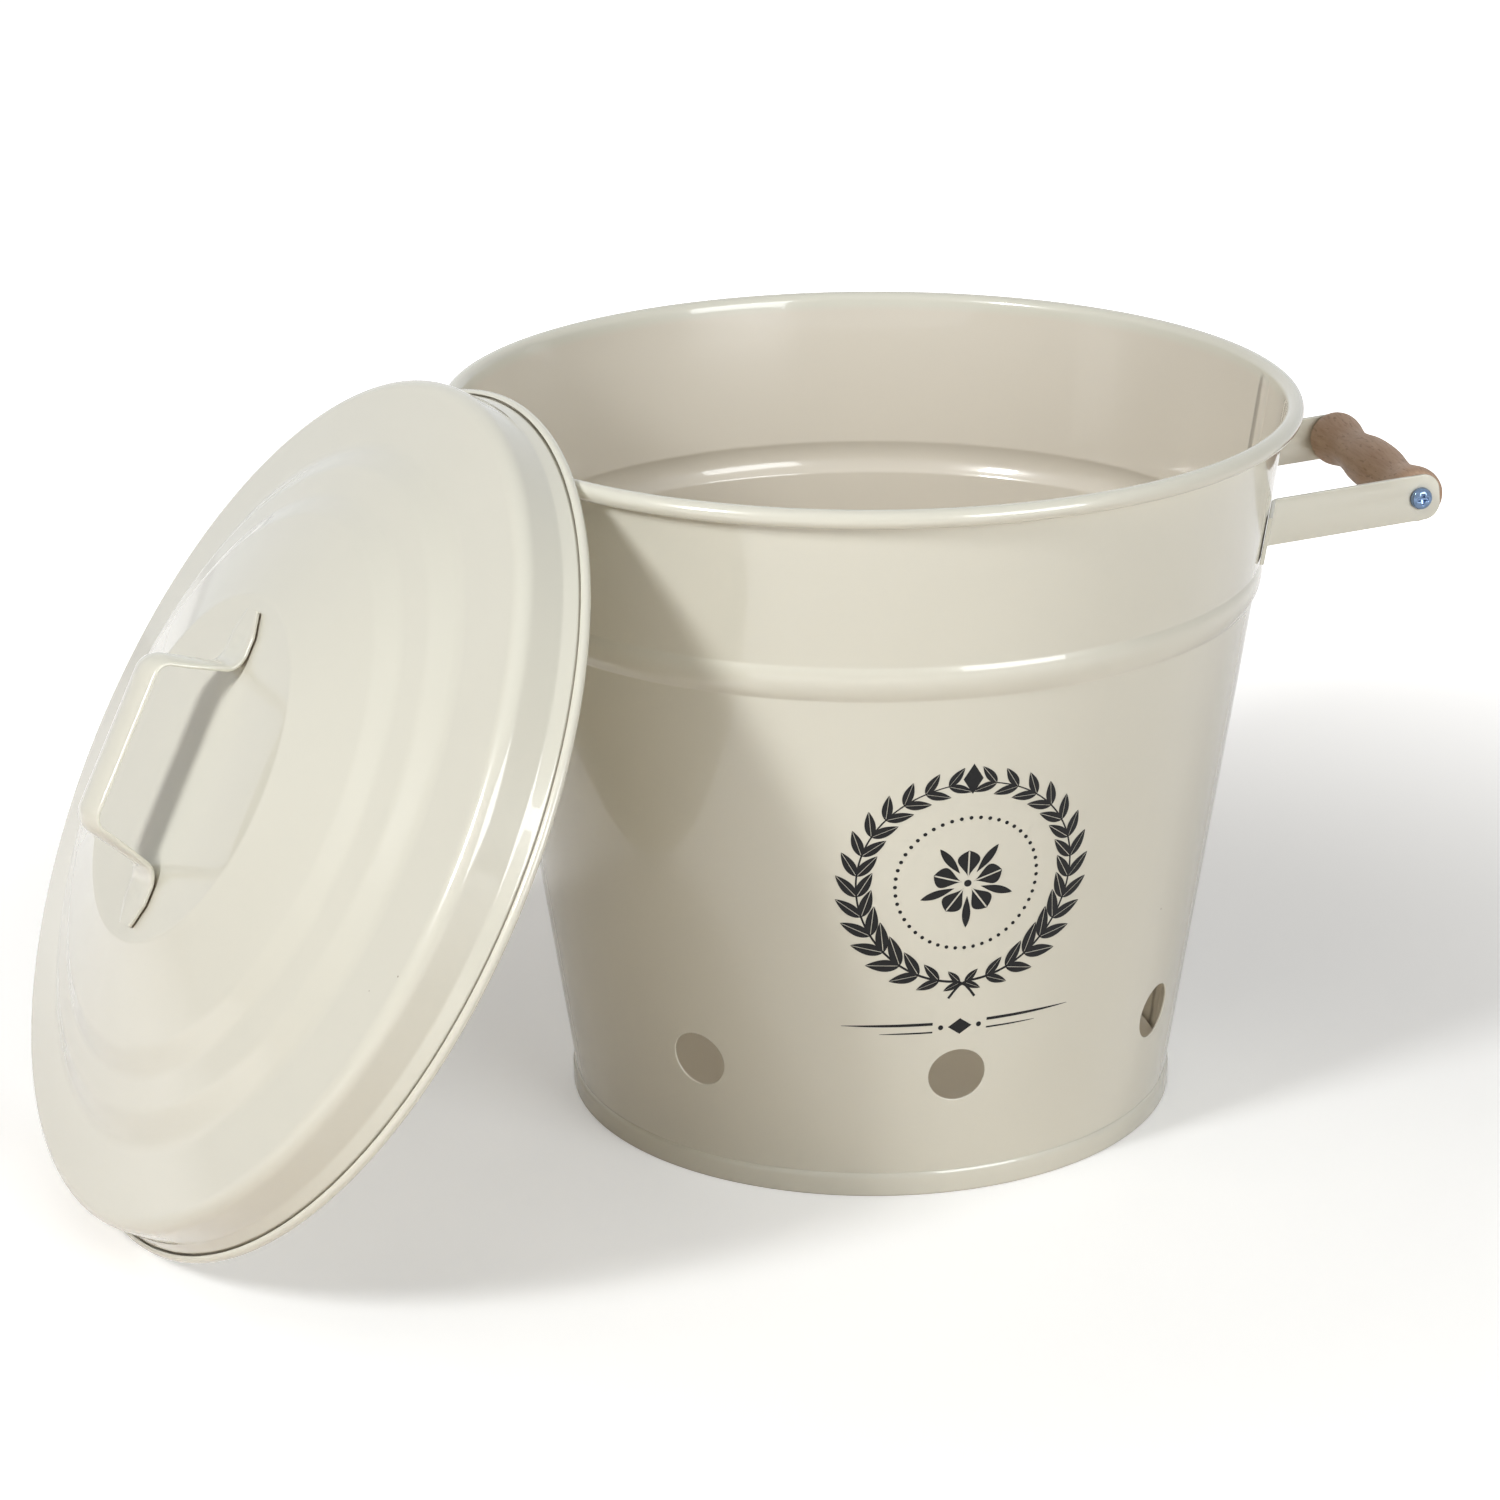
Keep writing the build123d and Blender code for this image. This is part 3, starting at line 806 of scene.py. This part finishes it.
# the lid, made lying flat and then leaned on the rim
lidLook = {
    "centre": (-214.1573, -46.1069, 140.084), "lean": 59.8, "azimuth": 192.15,
    "profile": (
        (0, 51.7), (63.8, 51.7), (98.2, 41.1), (106.9, 36.3), (118.7, 33.1),
        (128.6, 27.4), (157.28, 23.29), (157.28, 7), (159, 2.4), (159, 0),
    ),
    "blends": (5, 12, 12, 12, 12, 5.6, 3, 3), "turnStep": 8, "gap": 7,
    "sheet": 0.8, "curlRadius": 1.78, "curlTurn": 280.0, "edge": 0.3, "edgeSteps": 3, "sharpFrom": 60,
}
leaning = math.radians(lidLook["lean"])
away = Vector((math.cos(math.radians(lidLook["azimuth"])), math.sin(math.radians(lidLook["azimuth"])), 0))
lidNormal = away * math.sin(leaning) + Vector((0, 0, 1)) * math.cos(leaning)
lidSlope = Vector((0, 0, 1)) * math.sin(leaning) - away * math.cos(leaning)


def axesMatrix(origin, along, normal):
    across = normal.cross(along)
    turned = Matrix((along, across, normal)).transposed().to_4x4()
    return Matrix.Translation(Vector(origin) * mm) @ turned


lidPlace = axesMatrix(lidLook["centre"], lidSlope, lidNormal)


def lidPath():
    look = lidLook
    outer = divided(roundedPath(look["profile"], look["blends"], look["turnStep"]), look["gap"])
    inner = shifted(outer, -look["sheet"])
    inner[0] = Vector((0, outer[0].y - look["sheet"]))
    inner[-1] = Vector((outer[-1].x - look["sheet"], 0))
    middle = outer[-1].x + look["curlRadius"] - look["sheet"]
    return inner[:-1] + arcPath((middle, 0), look["curlRadius"], 180, look["curlTurn"])


lid = turn("lidShell", list(reversed(lidPath())), creamEnamel)
thicken(lid, lidLook["sheet"])
roundEdges(lid, lidLook)
settle(lid)
outward(lid)
place(lid, lidPlace)
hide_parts("lid_shell")
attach(lid, "lid")
print("lid made")


# the lid's strap handle
strapLook = {
    "turn": 9.0, "shift": 3.6, "base": 52.7, "top": 83.1, "bend": 7.0, "turnStep": 7, "gap": 0.8, "hold": 0.3,
    "footEnd": 58.2, "footStart": 37.6, "corner": 31.0, "topPoints": 18, "bottomPoints": 6,
    "width": 18.0, "thickness": 2.0, "crown": 0.8, "edge": 0.55, "tongue": 49.2, "tipWidth": 9.0,
    "weldPlace": 47.0, "weldRadius": 2.4, "weldDepth": 0.35, "dentAbove": 0.1,
    "arch": 2.3, "archFrom": 41.5, "archTo": 32.0,
}


def strapPath():
    look = strapLook
    base = look["base"]
    corners = [(-look["footEnd"], base), (-look["footStart"], base), (-look["corner"], look["top"])]
    corners += [(-x, z) for x, z in reversed(corners)]
    return divided(roundedPath(corners, [look["bend"]] * 4, look["turnStep"]), look["gap"], look["hold"])


def strapSection():
    look = strapLook
    half, low, edge = look["width"] / 2, -look["thickness"] / 2, look["edge"]
    inner, over, under = half - edge, look["topPoints"], look["bottomPoints"]
    across = [inner - inner * 2 * i / over for i in range(over + 1)]
    top = [Vector((x, low + look["thickness"] - look["crown"] * (x / half) ** 2)) for x in across]
    right = arcPath((inner, low + edge), edge, -90, 90, 30)
    right += arcPath((inner, top[0].y - edge), edge, 0, 90, 30)
    left = [Vector((-p.x, p.y)) for p in reversed(right)]
    bottom = [Vector((-inner * (1 - 2 * i / under), low)) for i in range(1, under)]
    return right[:-1] + top + left[1:] + bottom


def makeStrap():
    tree, given, result = newTree("bentStrap", "Geometry", {
        "Path": "Object", "Section": "Object", "Tongue Start": 0.05, "Tongue End": 0.06,
        "Tip Share": 0.5, "Weld Place": 0.047, "Weld Radius": 0.002, "Weld Depth": 0.0003,
        "Flat Top": 0.0523, "Half Width": 0.009, "Arch": 0.002, "Arch From": 0.04, "Arch To": 0.032,
        "Material": "Material",
    }, {"Geometry": "Geometry"})
    run = put(tree, "GeometryNodeMeshToCurve", {"Mesh": shapeOf(tree, given["Path"])}).outputs[0]
    heading = put(tree, "GeometryNodeStoreNamedAttribute", {
        "Geometry": run, "Name": "heading", "Value": put(tree, "GeometryNodeInputTangent").outputs[0],
    }, data_type="FLOAT_VECTOR", domain="POINT")
    across = put(tree, "GeometryNodeMeshToCurve", {"Mesh": shapeOf(tree, given["Section"])}).outputs[0]
    band = put(tree, "GeometryNodeCurveToMesh", {
        "Curve": heading.outputs[0], "Profile Curve": across, "Fill Caps": True,
    }).outputs[0]
    spot = partsOf(tree, put(tree, "GeometryNodeInputPosition").outputs[0])
    out = reckon(tree, "ABSOLUTE", spot["X"])
    named = put(tree, "GeometryNodeInputNamedAttribute", {"Name": "heading"}, data_type="FLOAT_VECTOR")
    along = partsOf(tree, named.outputs[0])
    inward = vector(tree, X=along["Z"], Z=reckon(tree, "MULTIPLY", along["X"], -1.0))
    raised = spread(tree, out, source=(given["Arch From"], given["Arch To"]), interpolation_type="SMOOTHSTEP")
    aside = reckon(tree, "DIVIDE", reckon(tree, "ABSOLUTE", spot["Y"]), given["Half Width"])
    bowed = reckon(tree, "MULTIPLY", reckon(tree, "POWER", aside, 2.0), raised)
    fall = reckon(tree, "MULTIPLY", bowed, given["Arch"])
    dropped = put(tree, "ShaderNodeVectorMath", {0: inward, "Scale": fall}, operation="SCALE").outputs[0]
    swept = put(tree, "GeometryNodeSetPosition", {"Geometry": band, "Offset": dropped}).outputs[0]
    share = spread(tree, out, (1.0, given["Tip Share"]), (given["Tongue Start"], given["Tongue End"]))
    narrowed = vector(tree, X=spot["X"], Y=reckon(tree, "MULTIPLY", spot["Y"], share), Z=spot["Z"])
    tongued = put(tree, "GeometryNodeSetPosition", {"Geometry": swept, "Position": narrowed}).outputs[0]
    lengthwise = reckon(tree, "POWER", reckon(tree, "SUBTRACT", out, given["Weld Place"]), 2.0)
    sideways = reckon(tree, "POWER", spot["Y"], 2.0)
    fromWeld = reckon(tree, "SQRT", reckon(tree, "ADD", lengthwise, sideways))
    weldTo, weldFrom = (given["Weld Depth"], 0.0), (0.0, given["Weld Radius"])
    dent = spread(tree, fromWeld, weldTo, weldFrom, interpolation_type="SMOOTHSTEP")
    drop = vector(tree, Z=reckon(tree, "MULTIPLY", dent, -1.0))
    upper = reckon(tree, "GREATER_THAN", spot["Z"], given["Flat Top"])
    dented = put(tree, "GeometryNodeSetPosition", {"Geometry": tongued, "Selection": upper, "Offset": drop})
    dress(tree, dented.outputs[0], given["Material"], result[0])
    return tree


def sectionChain(name, points):  # a closed line in the XY plane, for a sweep
    spots = [(p.x * mm, p.y * mm, 0) for p in points]
    count = len(spots)
    return plainMesh(name, spots, edges=[(i, (i + 1) % count) for i in range(count)])


bentStrap = makeStrap()
lidStrap = grow("lidStrapHandle", bentStrap, {
    "Path": chain("strapPath", strapPath()), "Section": sectionChain("strapSection", strapSection()),
    "Tongue Start": strapLook["tongue"] * mm, "Tongue End": strapLook["footEnd"] * mm,
    "Tip Share": strapLook["tipWidth"] / strapLook["width"],
    "Weld Place": strapLook["weldPlace"] * mm, "Weld Radius": strapLook["weldRadius"] * mm,
    "Weld Depth": strapLook["weldDepth"] * mm, "Flat Top": (strapLook["base"] + strapLook["dentAbove"]) * mm,
    "Half Width": strapLook["width"] / 2 * mm, "Arch": strapLook["arch"] * mm,
    "Arch From": strapLook["archFrom"] * mm, "Arch To": strapLook["archTo"] * mm, "Material": creamEnamel,
})
outward(lidStrap)
strapAlong = Matrix.Rotation(math.radians(strapLook["turn"]), 3, lidNormal) @ lidSlope
strapAcross = strapAlong.cross(lidNormal)
strapOrigin = Vector(lidLook["centre"]) + strapAcross * strapLook["shift"]
place(lidStrap, axesMatrix(strapOrigin, strapAlong, lidNormal))
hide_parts("lid_handle")
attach(lidStrap, "lid")
print("lid handle made")


# the printed ornament on the front: a leafy ring round a blossom, with beads and rules
printLook = {
    "middle": 125.5, "ring": 39.0, "open": 12.0, "leaves": 15, "splay": 0.62, "beads": 48, "beadRing": 25.5,
    "leaf": {"start": 0, "length": 13.6, "width": 5.2, "vein": 0.3, "fullness": 0.8},
    "petal": {"start": 2.2, "length": 10.6, "width": 8.0, "vein": 0.6, "fullness": 1.7},
    "sepal": {"start": 5.0, "length": 12.5, "width": 3.0, "vein": 0.0, "fullness": 1.2},
    "petals": 5, "eye": 1.35, "beadRadius": 0.7, "stemWidth": 0.95, "stemTaper": 0.55, "hairline": 0.12,
    "tipSize": 0.62, "budSize": 0.5, "budReach": 0.2, "lift": 0.05, "inkDepth": 0.05,
    "ruleHeight": 70.0, "ruleStart": 10.5, "rules": ((0.0, 45.0, 1.0), (3.4, 30.6, 0.5)),
    "ruleDiamond": (-1.7, 4.6, 3.2), "ruleDots": (7.4, 1.0), "crownDiamond": (1.5, 3.4, 5.8),
    "stemFoot": ((-5.0, -6.5), (-1.2, -1.6)), "stemFrom": -86, "stemStep": 3, "leafPower": 0.85,
    "cutPoints": 14, "rulePoints": 24,
}


def flatMesh(name, strips):  # each strip is two lines of points, side by side
    points, faces = [], []
    for left, right in strips:
        start = len(points)
        for a, b in zip(left, right):
            points += [(a.x * mm, a.y * mm, 0), (b.x * mm, b.y * mm, 0)]
        faces += [(i, i + 1, i + 3, i + 2) for i in range(start, len(points) - 2, 2)]
    return plainMesh(name, points, faces=faces)


def halvedLeaf(name, cut):  # grows along X, its two halves apart at the vein
    strips = []
    shares = [step / printLook["cutPoints"] for step in range(printLook["cutPoints"] + 1)]
    for side in (1, -1):
        inner, outer = [], []
        for t in shares:
            swell = cut["width"] / 2 * math.sin(math.pi * t ** cut["fullness"]) ** printLook["leafPower"]
            along = cut["start"] + cut["length"] * t
            inner.append(Vector((along, side * min(cut["vein"] / 2, swell))))
            outer.append(Vector((along, side * swell)))
        strips.append((inner, outer) if side < 0 else (outer, inner))
    return flatMesh(name, strips)


def discStrip(centre, radius, sides=16):  # a round dot
    turns = [math.tau * i / sides for i in range(sides + 1)]
    rim = [Vector(centre) + Vector((math.cos(turned), math.sin(turned))) * radius for turned in turns]
    return rim, [Vector(centre)] * (sides + 1)


def ribbon(points, widths):  # a strip of changing width along a line
    left, right = [], []
    for index, point in enumerate(points):
        along = (points[min(index + 1, len(points) - 1)] - points[max(index - 1, 0)]).normalized()
        side = Vector((-along.y, along.x)) * widths[index] / 2
        left.append(point + side)
        right.append(point - side)
    return right, left


def branchLine():  # the right-hand half of the ring, from its foot up
    look = printLook
    low = look["middle"] - look["ring"]
    foot = [Vector((x, low + y)) for x, y in look["stemFoot"]]
    sweep = 90 - look["stemFrom"] - look["open"]
    around = arcPath((0, look["middle"]), look["ring"], look["stemFrom"], sweep, look["stemStep"])
    return easedThrough(foot + around, 2)


def diamondStrip(height, across, tall):  # a diamond, as its lower and its upper line
    steps = 8  # to a side
    places = [(i / steps - 1, min(i, 2 * steps - i) / steps) for i in range(2 * steps + 1)]
    top = [Vector((across * x, height + tall * y)) for x, y in places]
    return [Vector((v.x, 2 * height - v.y)) for v in top], top


def ruleStrips():
    look = printLook
    shares = [i / look["rulePoints"] for i in range(look["rulePoints"] + 1)]
    strips = []
    for drop, reach, wide in look["rules"]:
        for side in (1, -1):
            places = [side * (look["ruleStart"] + (reach - look["ruleStart"]) * t) for t in shares]
            line = [Vector((x, look["ruleHeight"] - drop)) for x in places]
            strips.append(ribbon(line, [wide * (1 - t ** 3) + look["hairline"] for t in shares]))
    for level, (rise, across, tall) in (
        (look["ruleHeight"], look["ruleDiamond"]), (look["middle"] + look["ring"], look["crownDiamond"]),
    ):
        strips.append(diamondStrip(level + rise, across, tall))
    out, radius = look["ruleDots"]
    dotHeight = look["ruleHeight"] + look["ruleDiamond"][0]
    strips += [discStrip((side * out, dotHeight), radius) for side in (1, -1)]
    strips.append(discStrip((0, look["middle"]), look["eye"]))
    return strips


def makeWrap():  # lays a flat design, X across and Y up, on the leaning wall at -Y
    tree, given, result = newTree("wrapOnWall", "Geometry", {
        "Geometry": "Geometry", "Middle Radius": 0.13, "Foot Radius": 0.113, "Foot Height": 0.0085,
        "Lean": 0.145,
    }, {"Geometry": "Geometry"})
    spot = partsOf(tree, put(tree, "GeometryNodeInputPosition").outputs[0])
    angle = reckon(tree, "SUBTRACT", reckon(tree, "DIVIDE", spot["X"], given["Middle Radius"]), math.pi / 2)
    above = reckon(tree, "SUBTRACT", spot["Y"], given["Foot Height"])
    radius = reckon(tree, "MULTIPLY_ADD", above, reckon(tree, "TANGENT", given["Lean"]), given["Foot Radius"])
    laid = roundAxis(tree, radius, angle, spot["Y"])
    moved = put(tree, "GeometryNodeSetPosition", {"Geometry": given["Geometry"], "Position": laid})
    tree.links.new(moved.outputs[0], result[0])
    return tree


def makeOrnament():
    tree, given, result = newTree("leafyOrnament", "Geometry", {
        "Branch": "Object", "Stem": "Object", "Leaf": "Object", "Petal": "Object", "Sepal": "Object",
        "Bead": "Object", "Rules": "Object", "Leaves": 15, "Splay": 0.6, "Tip Size": 0.6,
        "Bud Size": 0.5, "Bud Reach": 0.2, "Petals": 5, "Beads": 40, "Bead Ring": 0.023,
        "Middle Height": 0.124, "Middle Radius": 0.13, "Foot Radius": 0.113, "Foot Height": 0.0085,
        "Lean": 0.145, "Material": "Material",
    }, {"Geometry": "Geometry"})

    line = put(tree, "GeometryNodeMeshToCurve", {"Mesh": shapeOf(tree, given["Branch"])}).outputs[0]
    evenly = put(tree, "GeometryNodeResampleCurve", {"Curve": line, "Count": given["Leaves"]}).outputs[0]
    along = partsOf(tree, put(tree, "GeometryNodeInputTangent").outputs[0])
    heading = reckon(tree, "ARCTAN2", along["Y"], along["X"])
    factor = put(tree, "GeometryNodeSplineParameter").outputs["Factor"]
    later = spread(tree, factor, (1.0, given["Tip Size"]))
    growing = spread(tree, factor, (given["Bud Size"], 1.0), (0.0, given["Bud Reach"]))
    size = reckon(tree, "MULTIPLY", later, growing)
    half = put(tree, "GeometryNodeJoinGeometry")
    tree.links.new(shapeOf(tree, given["Stem"]), half.inputs[0])
    for side in (1, -1):
        angle = reckon(tree, "MULTIPLY_ADD", given["Splay"], side, heading)
        leaves = put(tree, "GeometryNodeInstanceOnPoints", {
            "Points": evenly, "Instance": shapeOf(tree, given["Leaf"], True),
            "Rotation": rotation(tree, Z=angle), "Scale": size,
        })
        tree.links.new(leaves.outputs[0], half.inputs[0])
    rightHalf = put(tree, "GeometryNodeRealizeInstances", {"Geometry": half.outputs[0]}).outputs[0]
    mirrored = put(tree, "GeometryNodeTransform", {"Geometry": rightHalf, "Scale": (-1, 1, 1)}).outputs[0]
    leftHalf = put(tree, "GeometryNodeFlipFaces", {"Mesh": mirrored}).outputs[0]

    pinPoint = 0.0000001  # a circle so small that the petals all start from the middle
    index = put(tree, "GeometryNodeInputIndex").outputs[0]
    step = reckon(tree, "DIVIDE", math.tau, given["Petals"])
    bloom = put(tree, "GeometryNodeJoinGeometry")
    for label, start in (("Petal", math.pi / 2), ("Sepal", math.pi / 2 + math.pi / 5)):  # half a petal on
        middle = put(tree, "GeometryNodeMeshCircle", {"Vertices": given["Petals"], "Radius": pinPoint})
        angle = reckon(tree, "MULTIPLY_ADD", index, step, start)
        whorl = put(tree, "GeometryNodeInstanceOnPoints", {
            "Points": middle.outputs[0], "Instance": shapeOf(tree, given[label], True),
            "Rotation": rotation(tree, Z=angle),
        })
        tree.links.new(whorl.outputs[0], bloom.inputs[0])
    circle = put(tree, "GeometryNodeMeshCircle", {"Vertices": given["Beads"], "Radius": given["Bead Ring"]})
    bead = shapeOf(tree, given["Bead"], True)
    string = put(tree, "GeometryNodeInstanceOnPoints", {"Points": circle.outputs[0], "Instance": bead})
    tree.links.new(string.outputs[0], bloom.inputs[0])
    rise = vector(tree, Y=given["Middle Height"])
    raised = put(tree, "GeometryNodeTransform", {"Geometry": bloom.outputs[0], "Translation": rise})

    whole = put(tree, "GeometryNodeJoinGeometry")
    for part in (rightHalf, leftHalf, raised.outputs[0], shapeOf(tree, given["Rules"])):
        tree.links.new(part, whole.inputs[0])
    real = put(tree, "GeometryNodeRealizeInstances", {"Geometry": whole.outputs[0]})
    feeds = {label: given[label] for label in ("Middle Radius", "Foot Radius", "Foot Height", "Lean")}
    laid = put(tree, "GeometryNodeGroup", {"Geometry": real.outputs[0], **feeds}, node_tree=wrapOnWall)
    worn = {"Geometry": laid.outputs[0], "Material": given["Material"]}
    dressed = put(tree, "GeometryNodeSetMaterial", worn)
    tree.links.new(dressed.outputs[0], result[0])
    return tree


wrapOnWall = makeWrap()
branch = branchLine()
thinning = [1 - printLook["stemTaper"] * i / len(branch) for i in range(len(branch))]
stemWidths = [printLook["stemWidth"] * share for share in thinning]
leafy = [(p.x * mm, p.y * mm, 0) for p in branch[3:]]  # the part of the stem that bears leaves
ornament = grow("leafyOrnament", makeOrnament(), {
    "Branch": plainMesh("branchPath", leafy, edges=[(i, i + 1) for i in range(len(leafy) - 1)]),
    "Stem": flatMesh("branchStem", [ribbon(branch, stemWidths)]),
    "Leaf": halvedLeaf("leafCut", printLook["leaf"]),
    "Petal": halvedLeaf("petalCut", printLook["petal"]),
    "Sepal": halvedLeaf("sepalCut", printLook["sepal"]),
    "Bead": flatMesh("beadCut", [discStrip((0, 0), printLook["beadRadius"])]),
    "Rules": flatMesh("ruleCut", ruleStrips()),
    "Leaves": printLook["leaves"], "Splay": printLook["splay"], "Petals": printLook["petals"],
    "Tip Size": printLook["tipSize"], "Bud Size": printLook["budSize"], "Bud Reach": printLook["budReach"],
    "Beads": printLook["beads"], "Bead Ring": printLook["beadRing"] * mm,
    "Middle Height": printLook["middle"] * mm, "Middle Radius": wallRadius(printLook["middle"]) * mm,
    "Foot Radius": (wallLook["foot"][0] + printLook["lift"]) * mm, "Foot Height": wallLook["foot"][1] * mm,
    "Lean": wallLook["lean"], "Material": blackInk,
})
thicken(ornament, printLook["inkDepth"])
settle(ornament)
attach(ornament, "bin")
print("ornament printed")


# floor, light and camera
stageLook = {  # in metres
    "floorSize": 7.0, "floorTones": ((0.86, 0.86, 0.85, 1), (0.88, 0.88, 0.875, 1)), "floorRoughness": 0.9,
    "floorShine": 0.1, "floorBounce": (0.82, 0.71, 0.61, 1), "floorMirrored": 0.6,
    "fade": (0.22, 0.8), "nearGlow": 0.3, "mottleScale": 3.0, "zenithFrom": 0.8,
    "zenith": (0.02, 0.018, 0.016, 1), "horizon": (0.04, 0.032, 0.026, 1), "mirrored": (0.86, 0.87, 0.86, 1),
}


def makeFloorPaint(name, look):  # lit near the object, and fading to plain white with distance
    material, tree, shader = newMaterial(name)
    where = put(tree, "ShaderNodeTexCoord").outputs["Object"]
    away = put(tree, "ShaderNodeVectorMath", {0: where}, operation="LENGTH").outputs["Value"]
    fade = spread(tree, away, source=look["fade"], interpolation_type="SMOOTHSTEP")
    shade = blend(tree, noise(tree, where, look["mottleScale"], 2.0), *look["floorTones"])
    ray = put(tree, "ShaderNodeLightPath").outputs
    bounced = blend(tree, ray["Is Diffuse Ray"], shade, look["floorBounce"])
    tree.links.new(bounced, shader["Base Color"])
    shader["Roughness"].default_value = look["floorRoughness"]
    shader["Specular IOR Level"].default_value = look["floorShine"]
    mirrored = reckon(tree, "MULTIPLY", ray["Is Glossy Ray"], look["floorMirrored"])
    seen = reckon(tree, "ADD", mirrored, ray["Is Camera Ray"])
    glow = spread(tree, fade, (look["nearGlow"], 1.0))
    shader["Emission Color"].default_value = (1, 1, 1, 1)
    tree.links.new(reckon(tree, "MULTIPLY", seen, glow), shader["Emission Strength"])
    return material


def makeRoom(name, look):  # white to the camera, pale in reflections, a dim brown elsewhere
    world = bpy.data.worlds.new(name)
    world.use_nodes = True
    tree = world.node_tree
    tree.nodes.clear()
    facing = put(tree, "ShaderNodeTexCoord").outputs["Generated"]
    upward = partsOf(tree, facing)["Z"]
    rise = spread(tree, upward, source=(0.0, look["zenithFrom"]), interpolation_type="SMOOTHSTEP")
    tone = blend(tree, rise, look["horizon"], look["zenith"])
    ray = put(tree, "ShaderNodeLightPath").outputs
    ambient, bright, white = [
        put(tree, "ShaderNodeBackground", {"Color": colour, "Strength": 1.0}).outputs[0]
        for colour in (tone, look["mirrored"], (1, 1, 1, 1))
    ]
    reflected = put(tree, "ShaderNodeMixShader", {0: ray["Is Glossy Ray"], 1: ambient, 2: bright}).outputs[0]
    mixed = put(tree, "ShaderNodeMixShader", {0: ray["Is Camera Ray"], 1: reflected, 2: white}).outputs[0]
    put(tree, "ShaderNodeOutputWorld", {"Surface": mixed})
    return world


half = stageLook["floorSize"] / 2
corners = [(-half, -half, 0), (half, -half, 0), (half, half, 0), (-half, half, 0)]
floor = plainMesh("paleFloor", corners, faces=[(0, 1, 2, 3)])
floor.data.materials.append(makeFloorPaint("paleFloorPaint", stageLook))
scene.world = makeRoom("paleRoom", stageLook)

lampLook = {  # places are seen from the aim point, in degrees and metres
    "rightWindow": {
        "azimuth": 296, "rise": 19, "distance": 2.2, "size": (1.15, 1.0), "power": 20.6,
        "tint": (0.97, 1, 1.02), "mirrored": True,
    },
    "leftWindow": {
        "azimuth": 211, "rise": 34, "distance": 2.0, "size": (0.32, 0.5), "power": 21.8,
        "tint": (0.99, 1, 1.01), "mirrored": True,
    },
    "ceiling": {
        "azimuth": 225, "rise": 74, "distance": 2.0, "size": (1.6, 1.6), "power": 9,
        "tint": (1, 0.94, 0.85), "mirrored": False,
    },
    "backFill": {
        "azimuth": 80, "rise": 18, "distance": 2.2, "size": (1.6, 1.2), "power": 10,
        "tint": (1, 0.97, 0.93), "mirrored": False,
    },
}
aimPoint = Vector((-0.05, 0, 0.14))


def softbox(name, look):
    turned, lifted = math.radians(look["azimuth"]), math.radians(look["rise"])
    aim = Vector((math.cos(turned) * math.cos(lifted), math.sin(turned) * math.cos(lifted), math.sin(lifted)))
    lamp = bpy.data.lights.new(name, "AREA")
    lamp.shape = "RECTANGLE"
    lamp.size, lamp.size_y = look["size"]
    lamp.energy = look["power"]
    lamp.color = look["tint"]
    holder = objectFrom(name, lamp)
    holder.location = aimPoint + aim * look["distance"]
    holder.rotation_euler = (-aim).to_track_quat("-Z", "Y").to_euler()
    holder.visible_glossy = look["mirrored"]


for name, look in lampLook.items():
    softbox(name, look)

cameraLook = {  # place in metres, roll in radians
    "place": (-0.3702, -1.3816, 0.6458), "azimuth": 13.2, "down": 19.86, "roll": 0.0101,
    "lens": 97.6, "sensor": 36, "farthest": 50,
}
camera = objectFrom("camera", bpy.data.cameras.new("camera"))
scene.camera = camera
turnRight, tilt = math.radians(cameraLook["azimuth"]), math.radians(cameraLook["down"])
ahead = Vector((math.sin(turnRight) * math.cos(tilt), math.cos(turnRight) * math.cos(tilt), -math.sin(tilt)))
level = Vector((math.cos(turnRight), -math.sin(turnRight), 0))
right = level * math.cos(cameraLook["roll"]) + ahead.cross(level) * math.sin(cameraLook["roll"])
axes = Matrix((right, right.cross(ahead), -ahead)).transposed().to_4x4()
camera.matrix_world = Matrix.Translation(cameraLook["place"]) @ axes
camera.data.lens = cameraLook["lens"]
camera.data.sensor_width = cameraLook["sensor"]
camera.data.clip_end = cameraLook["farthest"]
scene.view_settings.view_transform = "Standard"
print("stage made")
